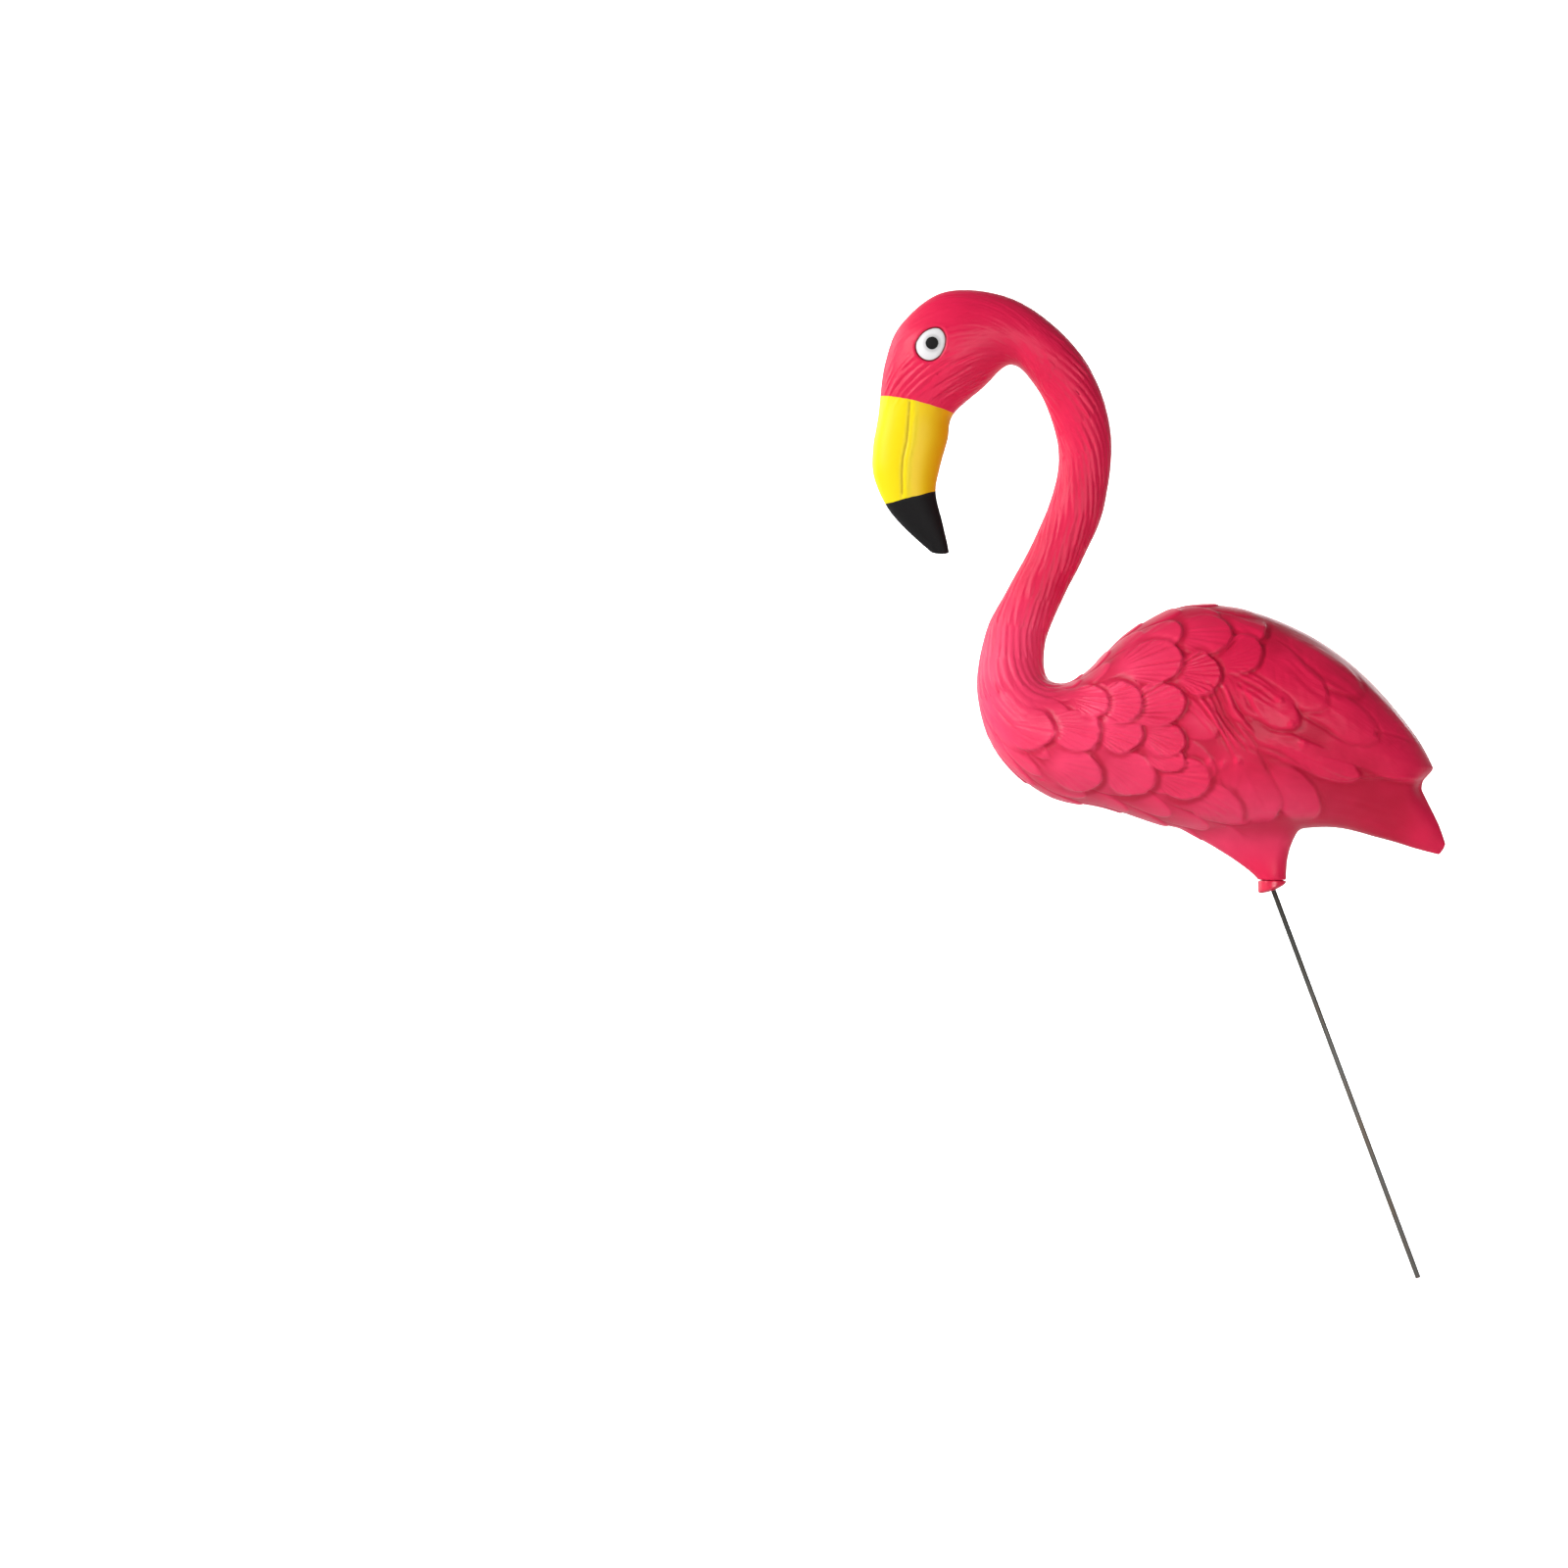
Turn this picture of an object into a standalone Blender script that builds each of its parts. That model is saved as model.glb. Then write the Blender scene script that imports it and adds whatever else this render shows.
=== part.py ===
"""A resin flamingo garden stake: a moulded bird, a domed collar under its boss, and a thin steel rod.

The origin is the middle of the rod's blunt lower end, which goes into the ground. +Z is up, the beak
points to -X and the bird is symmetrical across the plane Y = 0. All sizes are in metres.
"""

import math

import bmesh
import bpy
import numpy as np
from mathutils import Matrix, Vector

# Driving sizes
BIRD_LENGTH = 0.340
BODY_WIDTH = 0.110
BOSS_DIAMETER = 0.0168
COLLAR_DIAMETER = 0.0166
COLLAR_HEIGHT = 0.0041
COLLAR_DOME = 0.0022
ROD_DIAMETER = 0.003
ROD_VISIBLE_LENGTH = 0.246
ROD_SOCKET_DEPTH = 0.045
ROD_LEAN = math.radians(20.5)
FEATHER_RELIEF = 0.0017
WING_RELIEF = 0.0016
EYE_DOME = 0.0010
GROOVE_DEPTH = 0.0006
FIT_GAP = 0.0003

# How finely the solids are faceted
BIRD_RINGS = 420
BIRD_SEGMENTS = 168
CAP_RINGS = 5
BIRD_TRIANGLES = 8400
BOSS_RINGS = 9
BOSS_SEGMENTS = 32
ROUND_SEGMENTS = 32
ROD_SEGMENTS = 20
DOME_STEPS = 5
DOME_TURN = math.radians(15)
RUN_SAMPLES = 400

# The photo's pixels that tie its side view to the model
PHOTO_BIRD_LENGTH = 583
PHOTO_BOSS_END = (1298, 898)
PIXEL = BIRD_LENGTH / PHOTO_BIRD_LENGTH

# The bird's side view, read off the photo as rungs from the beak's tip to the tail: a point on the
# throat and belly line, the point across from it on the crown and back line, and the bird's
# width there as a share of the body's.
RUNGS = (
    ((969, 564), (949, 563), 0.06),
    ((962, 534), (920, 536), 0.13),
    ((955, 503), (903, 514), 0.175),
    ((959, 478), (891, 484), 0.205),
    ((967, 449), (891, 455), 0.225),
    ((973, 423), (896, 425), 0.26),
    ((1004, 395), (903, 371), 0.36),
    ((1023, 376), (921, 329), 0.40),
    ((1035, 373), (968, 297), 0.37),
    ((1048, 383), (1040, 308), 0.31),
    ((1067, 413), (1104, 363), 0.275),
    ((1080, 460), (1133, 437), 0.265),
    ((1074, 504), (1127, 516), 0.265),
    ((1052, 557), (1106, 568), 0.27),
    ((1027, 603), (1084, 612), 0.28),
    ((1006, 645), (1067, 655), 0.33),
    ((997, 706), (1068, 690), 0.46),
    ((1017, 769), (1088, 696), 0.64),
    ((1067, 812), (1111, 682), 0.80),
    ((1130, 826), (1150, 645), 0.92),
    ((1193, 844), (1205, 618), 0.99),
    ((1255, 850), (1266, 620), 1.0),
    ((1312, 848), (1323, 640), 0.94),
    ((1362, 846), (1370, 669), 0.80),
    ((1405, 856), (1411, 707), 0.60),
    ((1441, 866), (1445, 751), 0.36),
    ((1468, 873), (1464, 786), 0.13),
)
TIP_CAP = 2
TAIL_CAP = 3
# The rear is wider across the wings than across the tail, by this share, growing over these pixels
WING_OVER_TAIL = 0.35
REAR_NARROWS = (1290, 1450)

# How far the tail's rear edge stands back from or past its last rung, by height in the photo:
# the notch under the wing's tip and the point of the tail.
REAR_EDGE_HEIGHTS = (784, 796, 805, 818, 842, 862, 874)
REAR_EDGE_REACH = (0, -14, -17, -12, -1, 6, 0)
REAR_EDGE_FADE = 1.6

# The round feathers that cover breast and back: rows along the bird, with so many across a side
COVERT_ROW_PITCH = 40
COVERT_ROW_START = 18
COVERT_TIP = 34
COVERTS_ACROSS = 8
COVERT_DRIFT = 0.35
COVERT_HALF_WIDTH = 0.52
COVERT_EDGE = 0.16
COVERT_RISE = 1.6
FEATHER_LEVEL = 0.45

# The long feathers of the wing and flank, each from root to tip with its width, in photo pixels
PLUMES = (
    ((1285, 632), (1382, 708), 36),
    ((1262, 652), (1346, 724), 42),
    ((1236, 688), (1318, 742), 38),
    ((1345, 672), (1462, 776), 44),
    ((1326, 716), (1463, 788), 66),
    ((1278, 752), (1384, 796), 30),
    ((1246, 762), (1294, 842), 42),
    ((1284, 782), (1340, 838), 42),
)

# How each long feather rounds off, fades in at its root and rises, as shares of its length
PLUME_SHOULDER = 0.62
PLUME_EDGE = 0.2
PLUME_ROOT = (-0.05, 0.12)
PLUME_ROOT_HEIGHT = 0.25

# The boss from its end up into the belly, how far it flares by then, in photo pixels, and with
# what power of the height the flare grows
BOSS_HEIGHT = 72
BOSS_FORWARD_FLARE = 122
BOSS_REARWARD_FLARE = 36
BOSS_SIDE_FLARE = 34
BOSS_FORWARD_CURVE = 1.28
BOSS_REARWARD_CURVE = 2.6
BOSS_SIDE_CURVE = 3

# Where the rest of the relief lies, in rungs and in the photo's pixels
BREAST_START = (16.2, 17.6)
COVERTS_END = (1250, 1295)
UNDERSIDE = (-1.35, -0.9)
WING_EDGE_START = (1296, 1345)
WING_EDGE_HEIGHT = (770, 796)
WING_EDGE_SLOPE = (1300, 1380)
WING_EDGE_STEP = 3
TAIL_THINS = (1420, 1458)
EYE_CENTRE = (949, 354)
EYE_RADIUS = 15.5
MOUTH_LINE_HEIGHTS = (408, 452, 471, 490, 512)
MOUTH_LINE = (928, 926, 921, 919, 919)
MOUTH_LINE_WIDTH = 3.5
MOUTH_LINE_TOP = (404, 414)
MOUTH_LINE_FOOT = (516, 506)
BEAK_REAR = (1000, 980)

# The eye's rounding and the line around it, as shares of its radius
EYE_SLOPE = (1.0, 0.3)
EYE_LINE = 1.05
EYE_LINE_WIDTH = 0.16

ROD_AXIS = Vector((-math.sin(ROD_LEAN), 0.0, math.cos(ROD_LEAN)))
ROD_ROTATION = Matrix.Rotation(-ROD_LEAN, 4, "Y")
DOME_FOOT = ROD_AXIS * (ROD_VISIBLE_LENGTH + COLLAR_DOME)
BOSS_END = DOME_FOOT + Vector((0.0, 0.0, COLLAR_HEIGHT))


def clear_scene():
    for thing in list(bpy.data.objects):
        bpy.data.objects.remove(thing, do_unlink=True)


def material(name, colour, roughness, metallic=0.0):
    surface = bpy.data.materials.new(name)
    surface.use_nodes = True
    shader = surface.node_tree.nodes["Principled BSDF"]
    shader.inputs["Base Color"].default_value = (*colour, 1.0)
    shader.inputs["Roughness"].default_value = roughness
    shader.inputs["Metallic"].default_value = metallic
    return surface


def add_object(name, mesh, surface=None):
    thing = bpy.data.objects.new(name, mesh)
    bpy.context.scene.collection.objects.link(thing)
    if surface:
        mesh.materials.append(surface)
    return thing


def ramp(low, high, value):
    """A smooth step from 0 at low to 1 at high."""
    share = np.clip((value - low) / (high - low), 0.0, 1.0)
    return share * share * (3.0 - 2.0 * share)


def curve_through(values, place):
    """A smooth curve through values set at 0, 1, 2 and so on, read at each place."""
    points = np.asarray(values, float)
    last = len(points) - 1
    left = np.clip(np.floor(place).astype(int), 0, last - 1)
    share = place - left
    start, end = points[left], points[left + 1]
    start_slope = 0.5 * (end - points[np.maximum(left - 1, 0)])
    end_slope = 0.5 * (points[np.minimum(left + 2, last)] - start)
    bend = 3.0 * (end - start) - 2.0 * start_slope - end_slope
    twist = 2.0 * (start - end) + start_slope + end_slope
    return start + share * (start_slope + share * (bend + share * twist))


def rungs_at(place):
    """The side view's two outline points and half width, in pixels, at places along the bird."""
    under_x = curve_through([rung[0][0] for rung in RUNGS], place)
    under_y = curve_through([rung[0][1] for rung in RUNGS], place)
    over_x = curve_through([rung[1][0] for rung in RUNGS], place)
    over_y = curve_through([rung[1][1] for rung in RUNGS], place)
    half_width = curve_through([rung[2] for rung in RUNGS], place) * BODY_WIDTH / 2 / PIXEL
    return under_x, under_y, over_x, over_y, half_width


def run_along(place):
    """Distance along the bird's middle line, in pixels, up to each place."""
    samples = np.linspace(0, len(RUNGS) - 1, RUN_SAMPLES)
    under_x, under_y, over_x, over_y, _ = rungs_at(samples)
    steps = np.hypot(np.diff(under_x + over_x), np.diff(under_y + over_y)) / 2
    return np.interp(place, samples, np.concatenate(([0.0], np.cumsum(steps))))


def bare_skin(place, angle, cap):
    """The smooth bird in pixels: photo x, photo y and depth. cap runs from -1 to 1 over its two ends."""
    under_x, under_y, over_x, over_y, half_width = rungs_at(place)
    height = np.sin(angle)
    shrink = np.sqrt(np.clip(1.0 - cap * cap, 0.0, 1.0))
    x = (under_x + over_x) / 2 + shrink * height * (over_x - under_x) / 2
    y = (under_y + over_y) / 2 + shrink * height * (over_y - under_y) / 2
    y = y - np.minimum(cap, 0.0) * TIP_CAP
    x = x + np.maximum(cap, 0.0) * TAIL_CAP
    last = len(RUNGS) - 1
    rear = ramp(last - REAR_EDGE_FADE, last, place)
    x = x + rear * np.interp(y, REAR_EDGE_HEIGHTS, REAR_EDGE_REACH)
    top_heavy = WING_OVER_TAIL * ramp(*REAR_NARROWS, x)
    depth = shrink * half_width * np.cos(angle) * (1.0 + top_heavy * height)
    return x, y, depth


def coverts(run, angle):
    """Height from 0 to 1 of staggered rows of overlapping feathers with round tips."""
    height = np.zeros_like(run)
    rows = (run - COVERT_ROW_START) / COVERT_ROW_PITCH
    for back in (1, 0, -1):
        row = np.floor(rows) + back
        past_row = rows - row
        across = angle * COVERTS_ACROSS / math.pi + COVERT_DRIFT * past_row + 0.5 * np.mod(row, 2)
        offset = (across - np.round(across)) / COVERT_HALF_WIDTH
        tip = COVERT_TIP / COVERT_ROW_PITCH
        reach = np.maximum(past_row, 0.0) / tip
        inside = ramp(0.0, COVERT_EDGE, 1.0 - np.hypot(reach, offset))
        rise = np.clip((past_row + 1.0) / (1.0 + tip), 0.0, 1.0)
        height = np.maximum(height, inside * rise ** COVERT_RISE)
    return height


def plumes(x, y):
    """Height from 0 to 1 of the long feathers, each rising towards its round tip."""
    height = np.zeros_like(x)
    for root, tip, width in PLUMES:
        reach = math.dist(root, tip)
        ahead = ((tip[0] - root[0]) / reach, (tip[1] - root[1]) / reach)
        along = ((x - root[0]) * ahead[0] + (y - root[1]) * ahead[1]) / reach
        aside = np.abs((y - root[1]) * ahead[0] - (x - root[0]) * ahead[1]) / (width / 2)
        past_shoulder = np.maximum(along - PLUME_SHOULDER, 0.0) / (1.0 - PLUME_SHOULDER)
        inside = ramp(0.0, PLUME_EDGE, 1.0 - np.hypot(past_shoulder, aside)) * ramp(*PLUME_ROOT, along)
        rise = PLUME_ROOT_HEIGHT + (1.0 - PLUME_ROOT_HEIGHT) * np.clip(along, 0.0, 1.0)
        height = np.maximum(height, inside * rise)
    return height


def relief(x, y, place, angle):
    """How far the carving stands out, in metres, at points given in pixels."""
    feathered = ramp(*BREAST_START, place)
    wing_edge = WING_EDGE_HEIGHT[0] + np.diff(WING_EDGE_HEIGHT)[0] * ramp(*WING_EDGE_SLOPE, x)
    on_wing = ramp(WING_EDGE_STEP, -WING_EDGE_STEP, y - wing_edge)
    below_wing = (1.0 - on_wing) * ramp(*WING_EDGE_START, x) * (1.0 - ramp(*TAIL_THINS, x))
    covered = coverts(run_along(place), angle) * (1.0 - ramp(*COVERTS_END, x))
    carved = feathered * (np.maximum(covered, plumes(x, y)) - FEATHER_LEVEL)
    height = FEATHER_RELIEF * carved * (1.0 - ramp(*TAIL_THINS, x))
    height = height - WING_RELIEF * below_wing * ramp(*UNDERSIDE, angle)
    eye = np.hypot(x - EYE_CENTRE[0], y - EYE_CENTRE[1]) / EYE_RADIUS
    eye_line = np.exp(-((eye - EYE_LINE) / EYE_LINE_WIDTH) ** 2)
    height = height + EYE_DOME * ramp(*EYE_SLOPE, eye) - GROOVE_DEPTH * eye_line
    mouth = np.interp(y, MOUTH_LINE_HEIGHTS, MOUTH_LINE)
    on_beak = ramp(*MOUTH_LINE_TOP, y) * ramp(*MOUTH_LINE_FOOT, y) * ramp(*BEAK_REAR, x)
    return height - on_beak * GROOVE_DEPTH * np.exp(-((x - mouth) / MOUTH_LINE_WIDTH) ** 2)


def bird_skin(rings, segments):
    """The carved bird as ring by ring points, with a point of its own at each end."""
    last = len(RUNGS) - 1
    turn = np.linspace(0.0, 0.5 * math.pi, CAP_RINGS + 1)[:-1]
    caps_start, caps_end = -np.cos(turn), np.cos(turn)[::-1]
    samples = np.linspace(0.0, last, RUN_SAMPLES)
    run = run_along(samples)
    middle = np.interp(np.linspace(0.0, run[-1], rings), run, samples)
    place = np.concatenate((np.zeros(CAP_RINGS), middle, np.full(CAP_RINGS, float(last))))
    cap = np.concatenate((caps_start, np.zeros(rings), caps_end))
    angle = 2 * math.pi * np.arange(segments) / segments
    place, angle = np.meshgrid(place, angle, indexing="ij")
    cap = np.repeat(cap[:, None], segments, axis=1)
    x, y, depth = bare_skin(place, angle, cap)
    side_angle = np.arcsin(np.clip(np.sin(angle), -1.0, 1.0))
    lift = relief(x, y, place, side_angle)
    points = np.stack(((x - PHOTO_BOSS_END[0]) * PIXEL, depth * PIXEL, (PHOTO_BOSS_END[1] - y) * PIXEL), -1)
    along = np.gradient(points, axis=0)
    around = np.roll(points, -1, axis=1) - np.roll(points, 1, axis=1)
    outward = np.cross(around, along)
    outward /= np.maximum(np.linalg.norm(outward, axis=2, keepdims=True), 1e-12)
    return points + outward * lift[..., None]


def bird_body():
    points = bird_skin(BIRD_RINGS, BIRD_SEGMENTS)
    mesh = bpy.data.meshes.new("bird")
    body = bmesh.new()
    rings = []
    for ring in points[1:-1]:
        rings.append([body.verts.new(point) for point in ring])
    tip = body.verts.new(points[0].mean(axis=0))
    tail = body.verts.new(points[-1].mean(axis=0))
    for ring, following in zip(rings, rings[1:]):
        for i in range(BIRD_SEGMENTS):
            j = (i + 1) % BIRD_SEGMENTS
            body.faces.new((ring[i], ring[j], following[j], following[i]))
    for i in range(BIRD_SEGMENTS):
        j = (i + 1) % BIRD_SEGMENTS
        body.faces.new((tip, rings[0][j], rings[0][i]))
        body.faces.new((tail, rings[-1][i], rings[-1][j]))
    bmesh.ops.recalc_face_normals(body, faces=body.faces)
    body.to_mesh(mesh)
    body.free()
    return mesh


def boss_horn():
    """The boss, flaring forwards into the belly and in a tight hollow curve back to the tail."""
    radius = BOSS_DIAMETER / 2
    mesh = bpy.data.meshes.new("boss")
    horn = bmesh.new()
    rings = []
    for step in range(BOSS_RINGS + 1):
        rise = step / BOSS_RINGS
        ring = []
        for i in range(BOSS_SEGMENTS):
            turn = 2 * math.pi * i / BOSS_SEGMENTS
            forward = BOSS_FORWARD_FLARE * PIXEL * rise ** BOSS_FORWARD_CURVE
            rearward = BOSS_REARWARD_FLARE * PIXEL * rise ** BOSS_REARWARD_CURVE
            sideways = BOSS_SIDE_FLARE * PIXEL * rise ** BOSS_SIDE_CURVE
            x = math.cos(turn) * (radius + (forward if math.cos(turn) < 0 else rearward))
            y = math.sin(turn) * (radius + sideways)
            ring.append(horn.verts.new((x, y, BOSS_HEIGHT * PIXEL * rise)))
        rings.append(ring)
    for ring, following in zip(rings, rings[1:]):
        for i in range(BOSS_SEGMENTS):
            j = (i + 1) % BOSS_SEGMENTS
            horn.faces.new((ring[i], ring[j], following[j], following[i]))
    horn.faces.new(rings[0][::-1])
    horn.faces.new(rings[-1])
    bmesh.ops.recalc_face_normals(horn, faces=horn.faces)
    horn.to_mesh(mesh)
    horn.free()
    return mesh


def rod_shaped(name, diameter, bottom, top, segments):
    """A cylinder on the rod's axis, between two distances from the rod's lower end."""
    mesh = bpy.data.meshes.new(name)
    cylinder = bmesh.new()
    bmesh.ops.create_cone(cylinder, cap_ends=True, segments=segments, radius1=diameter / 2,
                          radius2=diameter / 2, depth=top - bottom)
    bmesh.ops.translate(cylinder, vec=(0, 0, (top + bottom) / 2), verts=cylinder.verts)
    cylinder.to_mesh(mesh)
    cylinder.free()
    return mesh


def cut_with(thing, cutter):
    cutter.hide_render = True
    cutter.display_type = "WIRE"
    cut = thing.modifiers.new("Cut", "BOOLEAN")
    cut.operation = "DIFFERENCE"
    cut.solver = "EXACT"
    cut.object = cutter


def make_bore():
    """The hole through collar and boss that the rod sits in, kept clear of it all round."""
    reach = ROD_VISIBLE_LENGTH + COLLAR_DOME + ROD_SOCKET_DEPTH + FIT_GAP
    below = ROD_VISIBLE_LENGTH - COLLAR_DIAMETER
    mesh = rod_shaped("bore", ROD_DIAMETER + 2 * FIT_GAP, below, reach, ROD_SEGMENTS)
    bore = add_object("rod_bore", mesh)
    bore.matrix_world = ROD_ROTATION
    return bore


def make_bird(bore):
    pink = material("flamingo_pink_resin", (0.78, 0.045, 0.115), 0.38)
    bird = add_object("flamingo_casting", bird_body(), pink)
    bird.location = BOSS_END
    thin = bird.modifiers.new("Facets", "DECIMATE")
    thin.ratio = BIRD_TRIANGLES / (2 * BIRD_RINGS * BIRD_SEGMENTS)
    boss = add_object("boss_shape", boss_horn())
    boss.location = BOSS_END
    boss.hide_render = True
    boss.display_type = "WIRE"
    join = bird.modifiers.new("Boss", "BOOLEAN")
    join.operation = "UNION"
    join.solver = "EXACT"
    join.object = boss
    cut_with(bird, bore)
    return bird


def make_collar(bore):
    """Level on top against the boss, with a dome below that is square to the rod."""
    pink = material("collar_pink_plastic", (0.83, 0.03, 0.12), 0.32)
    mesh = bpy.data.meshes.new("collar")
    shape = bmesh.new()
    radius = COLLAR_DIAMETER / 2
    top = COLLAR_HEIGHT - FIT_GAP
    rings = []
    for step in range(-1, DOME_STEPS + 1):
        ring = []
        for i in range(ROUND_SEGMENTS):
            turn = 2 * math.pi * i / ROUND_SEGMENTS
            x, y = radius * math.cos(turn), radius * math.sin(turn)
            foot = Vector((x, y, x * math.tan(ROD_LEAN)))
            bulge = DOME_TURN * max(step, 0)
            point = foot * math.cos(bulge) - ROD_AXIS * COLLAR_DOME * math.sin(bulge)
            if step < 0:
                point = Vector((x, y, top))
            ring.append(shape.verts.new(point))
        rings.append(ring)
    for ring, following in zip(rings, rings[1:]):
        for i in range(ROUND_SEGMENTS):
            j = (i + 1) % ROUND_SEGMENTS
            shape.faces.new((ring[i], ring[j], following[j], following[i]))
    shape.faces.new(rings[0])
    shape.faces.new(rings[-1])
    bmesh.ops.recalc_face_normals(shape, faces=shape.faces)
    shape.to_mesh(mesh)
    shape.free()
    collar = add_object("rod_collar", mesh, pink)
    collar.location = DOME_FOOT
    cut_with(collar, bore)
    return collar


def make_rod():
    steel = material("dull_steel_wire", (0.20, 0.19, 0.18), 0.42, 1.0)
    top = ROD_VISIBLE_LENGTH + COLLAR_DOME + ROD_SOCKET_DEPTH
    rod = add_object("steel_rod", rod_shaped("rod", ROD_DIAMETER, 0.0, top, ROD_SEGMENTS), steel)
    rod.matrix_world = ROD_ROTATION
    return rod


def main():
    clear_scene()
    bore = make_bore()
    make_bird(bore)
    make_collar(bore)
    make_rod()


main()
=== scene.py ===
"""Looks of the flamingo garden stake: the carved bird, its collar and rod, and a plain studio."""

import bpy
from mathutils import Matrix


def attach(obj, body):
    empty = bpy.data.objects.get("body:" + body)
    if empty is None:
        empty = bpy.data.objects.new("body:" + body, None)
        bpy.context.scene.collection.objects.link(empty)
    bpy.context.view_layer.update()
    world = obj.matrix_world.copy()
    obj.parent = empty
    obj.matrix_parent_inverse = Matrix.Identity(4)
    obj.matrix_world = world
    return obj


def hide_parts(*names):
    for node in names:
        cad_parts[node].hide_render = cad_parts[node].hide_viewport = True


bl_info = {
    "name": "Flamingo garden stake",
    "version": (1, 0, 0),
    "blender": (4, 5, 0),
    "location": "3D Viewport > Sidebar > Flamingo",
    "description": "Builds a moulded flamingo with carved feathers on a thin steel rod",
    "category": "Object",
}

import math

import bpy
import numpy as np
from mathutils import Vector
from mathutils.kdtree import KDTree

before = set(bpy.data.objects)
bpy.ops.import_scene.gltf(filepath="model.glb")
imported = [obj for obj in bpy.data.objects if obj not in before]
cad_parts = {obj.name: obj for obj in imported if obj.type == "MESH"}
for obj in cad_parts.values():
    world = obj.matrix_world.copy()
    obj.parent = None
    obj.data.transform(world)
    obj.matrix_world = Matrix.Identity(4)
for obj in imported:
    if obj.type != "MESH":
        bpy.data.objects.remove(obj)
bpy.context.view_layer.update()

# The CAD part's sizes
BIRD_LENGTH = 0.340
BODY_WIDTH = 0.110
BOSS_DIAMETER = 0.0168
COLLAR_DIAMETER = 0.0166
COLLAR_HEIGHT = 0.0041
COLLAR_DOME = 0.0022
ROD_DIAMETER = 0.003
ROD_VISIBLE_LENGTH = 0.246
ROD_SOCKET_DEPTH = 0.045
ROD_LEAN = math.radians(20.5)
FIT_GAP = 0.0003

PHOTO_BIRD_LENGTH = 583
PHOTO_BOSS_END = (1298, 898)
PIXEL = BIRD_LENGTH / PHOTO_BIRD_LENGTH

# The bird's side view in photo pixels: x and y of throat or belly, of crown or back, width share
RUNGS = (
    (969, 564, 949, 563, 0.06),
    (962, 534, 920, 536, 0.13),
    (955, 503, 903, 514, 0.175),
    (959, 478, 891, 484, 0.205),
    (967, 449, 891, 455, 0.225),
    (973, 423, 896, 425, 0.26),
    (1004, 395, 903, 371, 0.36),
    (1023, 376, 921, 329, 0.40),
    (1035, 373, 968, 297, 0.37),
    (1048, 383, 1040, 308, 0.31),
    (1067, 413, 1104, 363, 0.275),
    (1080, 460, 1133, 437, 0.265),
    (1074, 504, 1127, 516, 0.265),
    (1052, 557, 1106, 568, 0.27),
    (1027, 603, 1084, 612, 0.28),
    (1006, 645, 1067, 655, 0.33),
    (997, 706, 1068, 690, 0.46),
    (1017, 769, 1088, 696, 0.64),
    (1067, 812, 1111, 682, 0.80),
    (1130, 826, 1150, 645, 0.92),
    (1193, 844, 1205, 618, 0.99),
    (1255, 850, 1266, 620, 1.0),
    (1312, 848, 1323, 640, 0.94),
    (1362, 846, 1370, 669, 0.80),
    (1405, 856, 1411, 707, 0.60),
    (1441, 866, 1445, 751, 0.36),
    (1468, 873, 1464, 786, 0.13),
)
LAST_RUNG = len(RUNGS) - 1
TIP_CAP = 2
TAIL_CAP = 3
WING_OVER_TAIL = 0.35
REAR_NARROWS = (1290, 1450)
REAR_EDGE_HEIGHTS = (784, 796, 805, 818, 842, 862, 874)
REAR_EDGE_REACH = (0, -14, -17, -12, -1, 6, 0)
REAR_EDGE_FADE = 1.6

# The round feathers as placed on the flank: root, tip and width in photo pixels, and how strongly
# the fan of barbs shows. Later ones lie over earlier ones. Beads and grooves have a place, as a
# share of the way to the edge, and a width.
SCALES = (
    ((1215, 806), (1262, 846), 46, 0.2),
    ((1178, 790), (1228, 801), 44, 0.5),
    ((1238, 624), (1290, 646), 40, 0.2),
    ((1124, 778), (1172, 802), 44, 0.3),
    ((1070, 778), (1120, 796), 42, 0.3),
    ((1238, 678), (1280, 661), 40, 0.35),
    ((1166, 768), (1202, 781), 28, 0.6),
    ((1162, 748), (1202, 762), 36, 0.9),
    ((1196, 648), (1252, 650), 44, 0.3),
    ((1196, 688), (1238, 690), 46, 1.0),
    ((1146, 664), (1202, 639), 34, 0.5),
    ((1116, 744), (1159, 752), 42, 1.0),
    ((1148, 726), (1203, 715), 46, 1.0),
    ((1142, 684), (1200, 670), 44, 1.0),
    ((1068, 740), (1119, 751), 42, 0.7),
    ((1116, 718), (1160, 716), 42, 1.0),
    ((1022, 738), (1072, 749), 46, 0.6),
    ((1090, 712), (1128, 719), 32, 0.8),
)
SCALE_SHOULDER = 0.5
SCALE_ROOT_WIDTH = 0.55
SCALE_WIDENING = 0.45
SCALE_ROOT_FADE = (-0.2, 0.15)
SCALE_EDGE = (1.0, 0.90)
SCALE_LOBES = 0.16
SCALE_NICKS = 0.05
SCALE_TIP_START = (0.1, 0.6)
FAN_CENTRE = 0.3
FAN_EDGE = (1.02, 0.88)
FAN_RELIEF = 0.50
BEAD = (0.88, 0.10)
BEAD_RELIEF = 0.09
SCALE_ROOT_HEIGHT = 0.30
SCALE_RISE = 0.70
SCALE_CROWN = 0.12
SCALE_GROOVE = (1.10, 0.12)
SCALE_GROOVE_DEPTH = 0.38

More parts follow.
